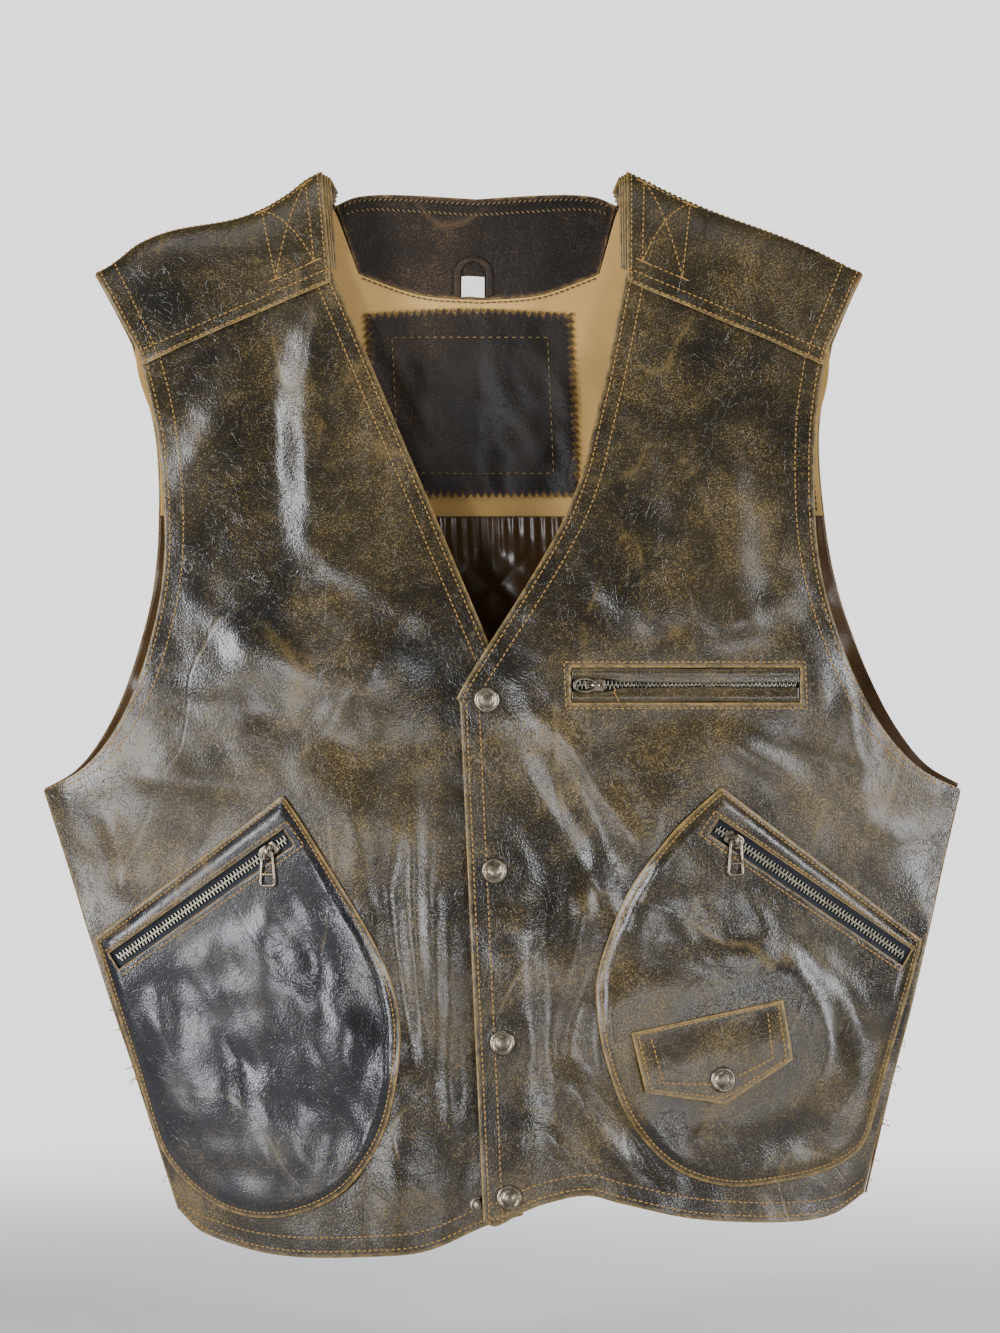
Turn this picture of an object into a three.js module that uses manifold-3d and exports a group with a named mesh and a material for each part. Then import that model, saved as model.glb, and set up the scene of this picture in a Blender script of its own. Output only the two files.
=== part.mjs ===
// A distressed leather waistcoat with a snap front, hung by its shoulders.
// X runs across the vest, Y from its front to its back and Z up, in millimetres.
// The origin lies between the neck ends of the shoulders, where a hanger carries it.
// The leather is drawn in body coordinates (across, z); the vest hangs a little askew,
// so every point is moved sideways by hangLean for each millimetre that it lies lower.
// "left" and "right" are the wearer's own: left is +X, and the left front is on top.

import * as THREE from 'three';
import { mergeVertices } from 'three/addons/utils/BufferGeometryUtils.js';
import Module from 'manifold-3d';

const wasm = await Module();
wasm.setup();

// ---------------------------------------------------------------- driving dimensions

const gap = 0.3;               // clearance between neighbouring pieces
const softGap = 0.7;           // and between curved layers that lie on each other
const leather = 1.6;           // shell leather
const facingLeather = 1.2;     // leather turned in behind the front edges
const cotton = 0.8;            // plain lining
const hangLean = 0.045;        // sideways drift for each millimetre of drop

const chestHalf = 266;         // half width at the underarm
const hemHalf = 199;           // half width at the hem
const underarmZ = -358;
const hemZ = -600;
const sideHalfDepth = 3;       // half depth at the side seams
const shoulderFront = 14;      // how far the front stands out at the shoulders
const chestFront = 48;         // and at the chest and below
const shoulderBack = 16;
const chestBack = 34;
const roundness = 2.6;         // power of the bulge across the body
const bulgeTopZ = -57;         // where the bulge starts to grow
const bulgeFullZ = -280;       // where it is full

const neckHalf = 88;           // ridge of the shoulder at the neck
const tipHalf = 222.5;         // ridge of the shoulder at its tip
const tipZ = -59;
const frontSeamNeck = [85.5, -57];
const frontSeamTip = [199, -105];
const backSeamNeck = [82, -18];
const backSeamTip = [204, -100];
const yokeLeather = 2.2;
const neckCentreZ = -14;       // back neckline at the middle
const backArmholeOut = 7;      // the back armhole is cut this much wider

const placketEdge = -21.7;     // free edge of the left front
const placketTopZ = -298;
const underCornerZ = -331;     // corner of the right front, below the left one
const underEdge = [18, 1];     // its free edge at the top and at the hem
const facingWidth = 45;
const liningSlack = 6.2;       // how far the lining hangs off the leather
const hemAllowance = 0.012;    // share of the length by which the lining stops short

const snapAcross = -6.4;
const firstSnapZ = -306;
const lastSnapZ = hemZ + 11;
const snapShares = [0, 0.343, 0.689, 1]; // where each snap sits between the first and the last
const snapZ = snapShares.map((share) => firstSnapZ + share * (lastSnapZ - firstSnapZ));
const looseStud = [-24, hemZ + 6]; // the lowest stud, which is undone
const capRadius = 7.4;
const capHeight = 2.6;
const socketRadius = 6;
const socketHeight = 2.8;
const studRadius = 5;
const studPlate = 0.8;
const knobRadius = 3.3;
const shankRadius = 1.7;
const postRadius = 1.1;
const runClearance = 0.4;

const zipTapeWidth = 20;
const zipTape = 0.5;
const chainHalf = 2.2;
const chainDepth = 1.4;
const toothPitch = 7;
const sliderSize = { long: 12, wide: 8.4, plate: 0.8 };
const pullWire = { wide: 1.5, thick: 1.1 };
const pocketPull = { wide: 10, long: 21 };
const chestPull = { wide: 9, long: 14 };
const pullRise = 2.8;          // height of the pull's bar over the slider's plate
const pocketPuff = 4.1;        // how far the pocket leather stands off the front
const pocketRamp = 8;
const pocketWindow = 11;
const chestWindow = { left: 42, right: 173, z: -297.6, tall: 20, slot: 3.4 };
const chestBag = { deep: 92, inset: 8 };
const sliderHome = 14;         // slider's centre from the end of its chain

// ---------------------------------------------------------------- small helpers

const mix = (a, b, t) => a + (b - a) * t;
const ease = (t) => {
  const c = Math.min(1, Math.max(0, t));
  return c * c * (3 - 2 * c);
};
const hang = (across, y, z) => new THREE.Vector3(across - hangLean * z, y, z);

// A smooth line through points sorted by their first number.
function line(points) {
  const slope = points.map((p, i) => {
    const a = points[Math.max(0, i - 1)];
    const b = points[Math.min(points.length - 1, i + 1)];
    return (b[1] - a[1]) / (b[0] - a[0]);
  });
  return (x) => {
    let i = 0;
    while (i < points.length - 2 && x > points[i + 1][0]) i += 1;
    const [a, b] = [points[i], points[i + 1]];
    const w = b[0] - a[0];
    const t = Math.min(1, Math.max(0, (x - a[0]) / w));
    const h = t * t * (3 - 2 * t);
    return mix(a[1], b[1], h) + w * (t * (1 - t) ** 2 * slope[i] - t * t * (1 - t) * slope[i + 1]);
  };
}

// A smooth path through flat points, walked from 0 to 1 by its length.
function path(points) {
  const curve = new THREE.SplineCurve(points.map(([x, z]) => new THREE.Vector2(x, z)));
  return (t) => curve.getPointAt(t).toArray();
}

const straight = (a, b) => (t) => [mix(a[0], b[0], t), mix(a[1], b[1], t)];
const joined = (first, second) => (t) => (t < 0.5 ? first(2 * t) : second(2 * t - 1));
const mirrored = (points, side) => points.map(([x, z]) => [side * x, z]);

// Welds a geometry, drops its empty triangles and turns its faces outward.
function outward(geometry) {
  const bare = new THREE.BufferGeometry();
  bare.setAttribute('position', geometry.getAttribute('position').clone());
  if (geometry.index) bare.setIndex(geometry.index.clone());
  const welded = mergeVertices(bare, 1e-4);
  const at = welded.getAttribute('position');
  const kept = [];
  let volume = 0;
  const [p, q, r] = [new THREE.Vector3(), new THREE.Vector3(), new THREE.Vector3()];
  for (let i = 0; i < welded.index.count; i += 3) {
    const [a, b, c] = [0, 1, 2].map((k) => welded.index.getX(i + k));
    if (a === b || b === c || a === c) continue;
    kept.push(a, b, c);
    p.fromBufferAttribute(at, a);
    q.fromBufferAttribute(at, b);
    r.fromBufferAttribute(at, c);
    volume += p.dot(q.cross(r));
  }
  if (volume < 0) kept.reverse();
  welded.setIndex(kept);
  return welded;
}

function toSolid(geometry) {
  const welded = outward(geometry);
  return new wasm.Manifold(new wasm.Mesh({
    numProp: 3,
    vertProperties: new Float32Array(welded.getAttribute('position').array),
    triVerts: new Uint32Array(welded.index.array),
  }));
}

function toGeometry(solid) {
  const mesh = solid.getMesh();
  const geometry = new THREE.BufferGeometry();
  geometry.setAttribute('position', new THREE.BufferAttribute(new Float32Array(mesh.vertProperties), 3));
  geometry.setIndex(new THREE.BufferAttribute(new Uint32Array(mesh.triVerts), 1));
  return geometry;
}

const cut = (body, tools) => toGeometry(tools.reduce((s, t) => s.subtract(toSolid(t)), toSolid(body)));
const join = (parts) => toGeometry(parts.slice(1).reduce((s, t) => s.add(toSolid(t)), toSolid(parts[0])));

// A closed sheet between two surfaces, each a function of (u, v) from 0 to 1.
function sheet(cols, rows, outer, inner) {
  const us = Array.isArray(cols) ? cols : Array.from({ length: cols + 1 }, (_, i) => i / cols);
  const wide = us.length;
  const tall = rows + 1;
  const spots = [];
  for (const face of [outer, inner]) {
    for (let j = 0; j < tall; j += 1) {
      for (const u of us) spots.push(...face(u, j / rows).toArray());
    }
  }
  const at = (face, i, j) => (face * tall + j) * wide + i;
  const index = [];
  const quad = (a, b, c, d) => index.push(a, b, c, a, c, d);
  for (let j = 0; j < rows; j += 1) {
    for (let i = 0; i < wide - 1; i += 1) {
      quad(at(0, i, j), at(0, i + 1, j), at(0, i + 1, j + 1), at(0, i, j + 1));
      quad(at(1, i, j), at(1, i, j + 1), at(1, i + 1, j + 1), at(1, i + 1, j));
    }
  }
  for (let i = 0; i < wide - 1; i += 1) {
    quad(at(0, i, 0), at(1, i, 0), at(1, i + 1, 0), at(0, i + 1, 0));
    quad(at(0, i, rows), at(0, i + 1, rows), at(1, i + 1, rows), at(1, i, rows));
  }
  for (let j = 0; j < rows; j += 1) {
    quad(at(0, 0, j), at(0, 0, j + 1), at(1, 0, j + 1), at(1, 0, j));
    quad(at(0, wide - 1, j), at(1, wide - 1, j), at(1, wide - 1, j + 1), at(0, wide - 1, j + 1));
  }
  const geometry = new THREE.BufferGeometry();
  geometry.setAttribute('position', new THREE.Float32BufferAttribute(spots, 3));
  geometry.setIndex(index);
  return outward(geometry);
}

// A closed patch inside a flat outline: rings from its centre, each corner given two depths.
function patch(outline, centre, rings, outerY, innerY) {
  const n = outline.length;
  const spots = [];
  const index = [];
  for (const depth of [outerY, innerY]) {
    spots.push(...hang(centre[0], depth(...centre), centre[1]).toArray());
    for (const ring of rings) {
      for (const [x, z] of outline) {
        const [a, b] = [mix(centre[0], x, ring), mix(centre[1], z, ring)];
        spots.push(...hang(a, depth(a, b), b).toArray());
      }
    }
  }
  const base = (face) => face * (1 + rings.length * n);
  const at = (face, ring, i) => base(face) + 1 + ring * n + (i % n);
  for (let i = 0; i < n; i += 1) {
    index.push(base(0), at(0, 0, i), at(0, 0, i + 1));
    index.push(base(1), at(1, 0, i + 1), at(1, 0, i));
    for (let k = 0; k < rings.length - 1; k += 1) {
      index.push(at(0, k, i), at(0, k + 1, i), at(0, k + 1, i + 1));
      index.push(at(0, k, i), at(0, k + 1, i + 1), at(0, k, i + 1));
      index.push(at(1, k, i), at(1, k + 1, i + 1), at(1, k + 1, i));
      index.push(at(1, k, i), at(1, k, i + 1), at(1, k + 1, i + 1));
    }
    const last = rings.length - 1;
    index.push(at(0, last, i), at(1, last, i), at(1, last, i + 1));
    index.push(at(0, last, i), at(1, last, i + 1), at(0, last, i + 1));
  }
  const geometry = new THREE.BufferGeometry();
  geometry.setAttribute('position', new THREE.Float32BufferAttribute(spots, 3));
  geometry.setIndex(index);
  return outward(geometry);
}

// ---------------------------------------------------------------- materials and parts

const finish = (color, roughness, metalness = 0) => ({ color, roughness, metalness });
const finishes = {
  shellLeather: finish(0x2a2418, 0.45),
  pocketLeather: finish(0x23242a, 0.4),
  innerLeather: finish(0x1d1a17, 0.55),
  beigeCotton: finish(0xa58c64, 0.9),
  brownSatin: finish(0x3c2a1b, 0.5),
  labelCloth: finish(0xe6e3dc, 0.9),
  zipTape: finish(0x1b1d22, 0.9),
  oldBrass: finish(0x8c8069, 0.4, 1),
};
const vest = new THREE.Group();

function part(name, geometry, look) {
  const mesh = new THREE.Mesh(outward(geometry), new THREE.MeshStandardMaterial(finishes[look]));
  mesh.name = name;
  vest.add(mesh);
  return mesh;
}

// Stands a mesh in a frame: its own x, y and z along three directions from a spot.
function stand(mesh, frame) {
  mesh.position.copy(frame.at);
  mesh.quaternion.setFromRotationMatrix(new THREE.Matrix4().makeBasis(frame.x, frame.y, frame.z));
  return mesh;
}

// ---------------------------------------------------------------- the body's surfaces

const sideAt = (z) => mix(chestHalf, hemHalf, Math.max(0, (z - underarmZ) / (hemZ - underarmZ)));
const grow = (z, small, full) => mix(small, full, ease((z - bulgeTopZ) / (bulgeFullZ - bulgeTopZ)));
const crown = (across, z) => 1 - Math.min(1, Math.abs(across) / sideAt(z)) ** roundness;
const bareFront = (across, z) => -sideHalfDepth - grow(z, shoulderFront, chestFront) * crown(across, z);
const backY = (across, z) => sideHalfDepth + grow(z, shoulderBack, chestBack) * crown(across, z);

// Zips and the pocket flap need a flat place: a plane fitted to the front there,
// whole within reach of a segment and faded out beyond it.
const slopeStep = 4;
function flatPlace(a, b, reach, fade) {
  const [x, z] = [(a[0] + b[0]) / 2, (a[1] + b[1]) / 2];
  const slopeX = (bareFront(x + slopeStep, z) - bareFront(x - slopeStep, z)) / (2 * slopeStep);
  const slopeZ = (bareFront(x, z + slopeStep) - bareFront(x, z - slopeStep)) / (2 * slopeStep);
  const ends = (bareFront(...a) + bareFront(...b)) / 2;
  const level = (ends + bareFront(x, z)) / 2;
  const plane = (p, q) => level + slopeX * (p - x) + slopeZ * (q - z);
  return { a, b, reach, fade, plane, slopeX, slopeZ };
}

function awayFrom([px, pz], a, b) {
  const [dx, dz] = [b[0] - a[0], b[1] - a[1]];
  const t = Math.min(1, Math.max(0, ((px - a[0]) * dx + (pz - a[1]) * dz) / (dx * dx + dz * dz)));
  return Math.hypot(px - a[0] - t * dx, pz - a[1] - t * dz);
}

const zips = {
  chest: {
    a: [chestWindow.left, chestWindow.z],
    b: [chestWindow.right, chestWindow.z],
  },
  left: { a: [119, -378], b: [227, -454] },
  right: { a: [-122, -384], b: [-226, -456] },
};
const flap = {
  hinge: [[67, -494.6], [155, -477]],
  outline: [[67, -494.6], [155, -477], [159, -511], [119, -536], [73.6, -528.5]],
  stud: [116.8, -521.5],
};
const chestInset = 13;
zips.chest.flat = flatPlace([zips.chest.a[0] + chestInset, chestWindow.z], [zips.chest.b[0] - chestInset, chestWindow.z], 16, 32);
zips.left.flat = flatPlace(zips.left.a, zips.left.b, 20, 45);
zips.right.flat = flatPlace(zips.right.a, zips.right.b, 20, 45);
const flats = Object.values(zips).map((zip) => zip.flat);
const flapFlat = flatPlace([88, -508], [142, -502], 38, 22);
flats.push(flapFlat);

function frontY(across, z) {
  let y = bareFront(across, z);
  for (const flat of flats) {
    const share = 1 - ease((awayFrom([across, z], flat.a, flat.b) - flat.reach) / flat.fade);
    y = mix(y, flat.plane(across, z), share);
  }
  return y;
}

// The right front steps back under the placket, by the height of a closed snap.
const snapStack = leather + gap + facingLeather + gap + socketHeight + gap + studPlate + gap;
const stepStart = placketEdge - 52;
const stepWidth = 44;
const underY = (across, z) => frontY(across, z) + snapStack * ease((across - stepStart) / stepWidth);
const faceOf = (side) => (side > 0 ? frontY : underY);

// ---------------------------------------------------------------- outlines of the panels

const armholePoints = [
  frontSeamTip, [190, -150], [187, -200], [190, -240], [200, -278],
  [213, -309], [228, -332], [245, -348], [chestHalf, underarmZ],
];
const armhole = path(armholePoints);
const sideSeam = straight([chestHalf, underarmZ], [hemHalf, hemZ]);
const outerEdge = joined(armhole, sideSeam);

const leftEdge = joined(
  path([frontSeamNeck, [66, -134], [42, -203], [placketEdge + 3.5, placketTopZ + 2], [placketEdge, placketTopZ - 8]]),
  straight([placketEdge, placketTopZ - 8], [placketEdge, hemZ - 3]),
);
const rightEdge = joined(
  straight([-frontSeamNeck[0], frontSeamNeck[1]], [underEdge[0], underCornerZ]),
  straight([underEdge[0], underCornerZ], [underEdge[1], hemZ]),
);
// each hem is a wavy line: how far across, and how far above or below the hem's height
const hemLine = (points) => line(points.map(([x, above]) => [x, hemZ + above]));
const leftHem = hemLine([
  [placketEdge, -3], [-14.7, -5.5], [0, 2], [16, 8], [38.5, 12], [56, 7.5],
  [102, -2.5], [155, -6], [180, -3], [hemHalf, 8],
]);
const rightHem = hemLine([
  [-hemHalf, -1], [-184.7, -14], [-142.6, -24.5], [-82, -23], [-52, -19.5], [-20, -6], [underEdge[1], 0],
]);
const backHem = hemLine([[-hemHalf, 0], [-120, -8], [-30, 2], [40, 6], [120, 4], [hemHalf, 8]]);
const backTop = line([[0, neckCentreZ], [48, -11.5], [70, -13], backSeamNeck]);
const backSeam = (across) => {
  const t = (Math.abs(across) - backSeamNeck[0]) / (backSeamTip[0] - backSeamNeck[0]);
  return mix(backSeamNeck[1], backSeamTip[1], Math.max(0, t));
};
const backTopAt = (across) => (Math.abs(across) < backSeamNeck[0] ? backTop(Math.abs(across)) : backSeam(across));

// A flat grid between an inner and an outer edge, pulled to a top and a bottom line.
const frontRows = 20;
const lineReach = 0.22;
function between(inner, outer, top, bottom) {
  const corner = (t, u) => {
    const [a, b] = [inner(t), outer(t)];
    return [mix(a[0], b[0], u), mix(a[1], b[1], u)];
  };
  return (u, v) => {
    const [x, z] = corner(v, u);
    let drop = 0;
    if (top) drop += (top(corner(0, u)[0]) - corner(0, u)[1]) * ease(1 - v / lineReach);
    if (bottom) drop += (bottom(corner(1, u)[0]) - corner(1, u)[1]) * ease(1 - (1 - v) / lineReach);
    return [x, z + drop];
  };
}

const frontGrid = {
  1: between(leftEdge, outerEdge, null, leftHem),
  '-1': between(rightEdge, (t) => [-outerEdge(t)[0], outerEdge(t)[1]], null, rightHem),
};

const widthAt = (side, v) => {
  const [a, b] = [frontGrid[side](0, v), frontGrid[side](1, v)];
  return Math.hypot(a[0] - b[0], a[1] - b[1]);
};

// Columns run from 0 to 1 across the turned-in facing, and from 1 to 2 across the rest.
const facingCols = [0, 0.2, 0.4, 0.6, 0.8, 1];
const restCols = [1, 1.08, 1.2, 1.33, 1.46, 1.59, 1.72, 1.84, 1.93, 2];
function across(side, column, v) {
  const fold = facingWidth / widthAt(side, v);
  return column < 1 ? column * fold : mix(fold, 1, column - 1);
}

// One layer of a front: a span of its columns between two depths behind its face.
function frontLayer(side, cols, down, near, far, inset = [0, 0]) {
  const grid = frontGrid[side];
  const face = faceOf(side);
  const first = cols[0];
  const last = cols[cols.length - 1];
  const layer = (depth) => (column, v) => {
    const w = widthAt(side, v);
    const t = (column - first) / (last - first);
    const u = across(side, column, v) + (column === first ? inset[0] / w : 0) - (column === last ? inset[1] / w : 0);
    const [x, z] = grid(u, v * down);
    return hang(x, face(x, z) + depth(t, v), z);
  };
  return sheet(cols, frontRows, layer(near), layer(far));
}

// ---------------------------------------------------------------- snaps

const ring = 8;
const lathe = (profile) => new THREE.LatheGeometry(profile.map(([r, h]) => new THREE.Vector2(r, h)), ring);
const socketTop = -(leather + gap + facingLeather + gap);
const socketFloor = socketTop - 1.2;
const socketEnd = socketTop - socketHeight;
const cavityRadius = knobRadius + runClearance;
const studTop = socketEnd - gap;
const studBase = studTop - studPlate;
const knobTop = socketFloor - gap;
const underFace = -snapStack;
const postTop = underFace - leather - gap - facingLeather - gap;

const capShape = lathe([
  [0, socketTop - 0.9], [shankRadius, socketTop - 0.9], [shankRadius, gap], [capRadius - 0.2, gap],
  [capRadius, 1], [capRadius - 1.2, 2], [capRadius - 2.4, 1.8], [capRadius - 3, 2.3], [0, capHeight],
]);
const socketShape = lathe([
  [shankRadius + runClearance, socketTop], [socketRadius, socketTop], [socketRadius, socketEnd + 0.4],
  [socketRadius - 0.4, socketEnd], [cavityRadius, socketEnd], [cavityRadius, socketFloor],
  [shankRadius + runClearance, socketFloor], [shankRadius + runClearance, socketTop],
]);
const studShape = lathe([
  [0, knobTop - 0.7], [postRadius + runClearance, knobTop - 0.7], [postRadius + runClearance, studBase],
  [studRadius, studBase], [studRadius, studTop], [knobRadius - 0.4, studTop], [knobRadius, knobTop - 0.8],
  [knobRadius - 0.5, knobTop], [0, knobTop],
]);
const postShape = lathe([
  [0, postTop - 0.8], [studRadius, postTop - 0.8], [studRadius, postTop], [postRadius, postTop],
  [postRadius, knobTop - 1], [0, knobTop - 1],
]);
const holeShape = (radius, top, foot) => lathe([[0, foot], [radius, foot], [radius, top], [0, top]]);

// Snaps stand straight out of the front: their own +Y is the outward direction.
function snapFrame(across, z, y) {
  return {
    at: hang(across, y, z),
    x: new THREE.Vector3(1, 0, 0),
    y: new THREE.Vector3(0, -1, 0),
    z: new THREE.Vector3(0, 0, -1),
  };
}
const atFrame = (geometry, frame) => {
  const matrix = new THREE.Matrix4().makeBasis(frame.x, frame.y, frame.z).setPosition(frame.at);
  return geometry.clone().applyMatrix4(matrix);
};
const snapFrames = snapZ.map((z) => snapFrame(snapAcross, z, frontY(snapAcross, z)));
const studFrames = snapFrames.map((frame, i) => (i < snapZ.length - 1
  ? frame
  : snapFrame(looseStud[0], looseStud[1], frontY(...looseStud))));
const capHoles = snapFrames.map((frame) => atFrame(holeShape(shankRadius + runClearance, 3, -8), frame));
const postHoles = studFrames.map((frame) => atFrame(holeShape(postRadius + runClearance, 3 - snapStack, -16), frame));

snapFrames.forEach((frame, i) => {
  stand(part(`snap_cap_${i + 1}`, capShape, 'oldBrass'), frame);
  stand(part(`snap_socket_${i + 1}`, socketShape, 'oldBrass'), frame);
});
studFrames.forEach((frame, i) => {
  stand(part(`snap_stud_${i + 1}`, studShape, 'oldBrass'), frame);
  stand(part(`snap_post_${i + 1}`, postShape, 'oldBrass'), frame);
});

// ---------------------------------------------------------------- zips

// A zip's own frame: x along its chain, z out of the leather, y across.
function zipFrame(zip) {
  const { a, b, flat } = zip;
  const [from, to] = [hang(a[0], flat.plane(...a), a[1]), hang(b[0], flat.plane(...b), b[1])];
  const out = new THREE.Vector3(flat.slopeX, -1, flat.slopeZ + hangLean * flat.slopeX).normalize();
  const along = to.clone().sub(from);
  const long = along.length();
  along.normalize();
  out.addScaledVector(along, -out.dot(along)).normalize();
  const across = new THREE.Vector3().crossVectors(out, along);
  return { at: from, x: along, y: across, z: out, long };
}

function box(x0, x1, y0, y1, z0, z1) {
  return new THREE.BoxGeometry(x1 - x0, y1 - y0, z1 - z0).translate((x0 + x1) / 2, (y0 + y1) / 2, (z0 + z1) / 2);
}

// The closed chain: a strip whose two long edges are cut into teeth.
function chainShape(long, foot) {
  const count = Math.floor(long / toothPitch);
  const pitch = long / count;
  const shape = new THREE.Shape();
  const edge = (side, i, k) => [(i + k) * pitch, side * (k === 0 || k > 0.5 ? chainHalf : chainHalf - 0.7)];
  shape.moveTo(0, -chainHalf);
  for (let i = 0; i < count; i += 1) {
    shape.lineTo(...edge(-1, i, 0.5));
    shape.lineTo(...edge(-1, i, 1));
  }
  for (let i = count - 1; i >= 0; i -= 1) {
    shape.lineTo(...edge(1, i, 1));
    shape.lineTo(...edge(1, i, 0.5));
  }
  shape.lineTo(0, chainHalf);
  return new THREE.ExtrudeGeometry(shape, { depth: chainDepth, bevelEnabled: false }).translate(0, 0, foot);
}

// A wire frame for a pull: its bar lies on the x axis, and it reaches down along -y.
function pullShape({ wide, long }) {
  const outer = new THREE.Shape();
  const [w, t] = [wide / 2, pullWire.wide];
  outer.moveTo(-w, t / 2);
  outer.lineTo(w, t / 2);
  outer.lineTo(w, t / 2 - long + w);
  outer.absarc(0, t / 2 - long + w, w, 0, -Math.PI, true);
  outer.lineTo(-w, t / 2);
  const hole = new THREE.Path();
  hole.moveTo(-w + t, -t / 2);
  hole.lineTo(-w + t, t / 2 - long + w);
  hole.absarc(0, t / 2 - long + w, w - t, Math.PI, 2 * Math.PI, false);
  hole.lineTo(w - t, -t / 2);
  hole.lineTo(-w + t, -t / 2);
  outer.holes.push(hole);
  const settings = { depth: pullWire.thick, bevelEnabled: false, curveSegments: 4 };
  return new THREE.ExtrudeGeometry(outer, settings).translate(0, 0, -pullWire.thick / 2);
}

const eyeRadius = Math.hypot(pullWire.wide, pullWire.thick) / 2 + gap;
const bridge = { thick: 1.6, half: eyeRadius + 1.1 };

// Builds tape, chain, slider and pull; foot is the tape's back, measured out of the leather.
function buildZip(name, zip, foot, endRoom, pull, pullTurn) {
  const frame = zipFrame(zip);
  const chainFoot = foot + zipTape + gap;
  const plateFoot = chainFoot + chainDepth + gap;
  const plateTop = plateFoot + sliderSize.plate;
  const barAt = plateTop + pullRise;
  const tape = box(-endRoom, frame.long + endRoom, -zipTapeWidth / 2, zipTapeWidth / 2, foot, foot + zipTape);
  stand(part(`${name}_zip_tape`, tape, 'zipTape'), frame);
  stand(part(`${name}_zip_chain`, chainShape(frame.long, chainFoot), 'oldBrass'), frame);
  const [l, w] = [sliderSize.long / 2, sliderSize.wide / 2];
  const inside = chainHalf + runClearance;
  const eye = new THREE.CylinderGeometry(eyeRadius, eyeRadius, 8, 12);
  const lug = box(-bridge.half, bridge.half, -bridge.thick / 2, bridge.thick / 2, plateFoot, barAt + bridge.half);
  const turned = (geometry) => geometry.rotateZ(pullTurn);
  const slider = cut(join([
    box(-l, l, -w, w, plateFoot, plateTop),
    box(-l, l, -w, -inside, chainFoot, plateTop),
    box(-l, l, inside, w, chainFoot, plateTop),
    turned(lug),
  ]), [turned(eye.translate(0, 0, barAt))]);
  const home = { ...frame, at: frame.at.clone().addScaledVector(frame.x, sliderHome) };
  stand(part(`${name}_zip_slider`, slider, 'oldBrass'), home);
  const ringShape = pullShape(pull).rotateZ(Math.PI / 2 + pullTurn).translate(0, 0, barAt);
  stand(part(`${name}_zip_pull`, ringShape, 'oldBrass'), home);
  return frame;
}

// The turn about a zip's z axis that points a pull along a direction of the world.
function turnTo(zip, direction) {
  const frame = zipFrame(zip);
  return Math.atan2(direction.dot(frame.y), direction.dot(frame.x));
}
const down = new THREE.Vector3(0, 0, -1);
const sideways = new THREE.Vector3(-1, 0, 0);

const pocketFoot = 4 * gap;
const chestFoot = -(leather + gap + sliderSize.plate + gap + chainDepth + gap + zipTape);
const chestFrame = buildZip('chest', zips.chest, chestFoot, 0.5, chestPull, turnTo(zips.chest, sideways));
const leftFrame = buildZip('left_pocket', zips.left, pocketFoot, 3, pocketPull, turnTo(zips.left, down));
const rightFrame = buildZip('right_pocket', zips.right, pocketFoot, 3, pocketPull, turnTo(zips.right, down));

const window = (frame, tall, past) => atFrame(
  box(-past, frame.long + past, -tall / 2, tall / 2, -12, 12),
  frame,
);

// ---------------------------------------------------------------- front panels

const wholeCols = [...facingCols, ...restCols.slice(1)];
const liningCols = [1, 1.03, ...restCols.slice(1, -1), 1.97, 2];
const slack = (t, v) => liningSlack * Math.min(1, 40 * t, 16 * (1 - t)) * Math.min(1, 10 * v * (1 - v));
const behind = leather + gap;
const liningInset = [gap, 2];

for (const [name, side] of [['left', 1], ['right', -1]]) {
  const snapHoles = side > 0 ? capHoles : postHoles;
  const holes = side > 0 ? [...capHoles, window(chestFrame, chestWindow.tall, 0)] : postHoles;
  const panel = frontLayer(side, wholeCols, 1, () => 0, () => leather);
  part(`${name}_front_panel`, cut(panel, holes), 'shellLeather');
  const length = 1 - hemAllowance;
  const facing = frontLayer(side, facingCols, length, () => behind, () => behind + facingLeather);
  part(`${name}_front_facing`, cut(facing, snapHoles), 'innerLeather');
  const lining = frontLayer(
    side, liningCols, length,
    (t, v) => leather + softGap + slack(t, v),
    (t, v) => leather + softGap + cotton + slack(t, v),
    liningInset,
  );
  part(`${name}_front_lining`, lining, 'brownSatin');
}

// ---------------------------------------------------------------- chest pocket

const lipHalf = chestWindow.tall / 2 - gap;
for (const [name, side] of [['upper', 1], ['lower', -1]]) {
  const [near, far] = [side * chestWindow.slot / 2, side * lipHalf];
  const welt = box(gap, chestFrame.long - gap, Math.min(near, far), Math.max(near, far), -leather, 0);
  const up = chestFrame.y.z > 0 ? 1 : -1;
  stand(part(`chest_pocket_${name}_welt`, up > 0 ? welt : welt.rotateZ(Math.PI).translate(chestFrame.long, 0, 0), 'shellLeather'), chestFrame);
}
const bagTop = chestWindow.z + 9;
const bagSpot = (u, v) => [
  mix(chestWindow.left + chestBag.inset, chestWindow.right - chestBag.inset, u),
  mix(bagTop, bagTop - chestBag.deep, v),
];
const bagLayer = (depth) => (u, v) => {
  const [x, z] = bagSpot(u, v);
  return hang(x, frontY(x, z) + depth, z);
};
const bagDepth = -chestFoot + gap;
part('chest_pocket_bag', sheet(8, 6, bagLayer(bagDepth), bagLayer(bagDepth + 0.6)), 'beigeCotton');

// ---------------------------------------------------------------- lower pockets

const seamInset = 3;
const pocketCurves = {
  left: [
    [204, -555], [196, -567], [177, -577], [152, -582], [121, -584], [95, -576.5], [77, -563], [63, -543],
    [54, -519], [49, -494], [48.5, -467], [56, -443], [71, -412], [94, -383], [110, -368], [125, -355.5],
  ],
  right: [
    [212, -549], [205, -569], [190, -587], [169, -600], [144, -603], [117, -596], [96, -582], [78, -556.5],
    [68.5, -528], [64, -495], [67.4, -468], [78, -441], [95, -410], [114, -377], [125, -360],
  ],
};
const pocketCorner = { left: [sideAt(-445) - seamInset, -445], right: [sideAt(-444) - seamInset, -444] };

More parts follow.
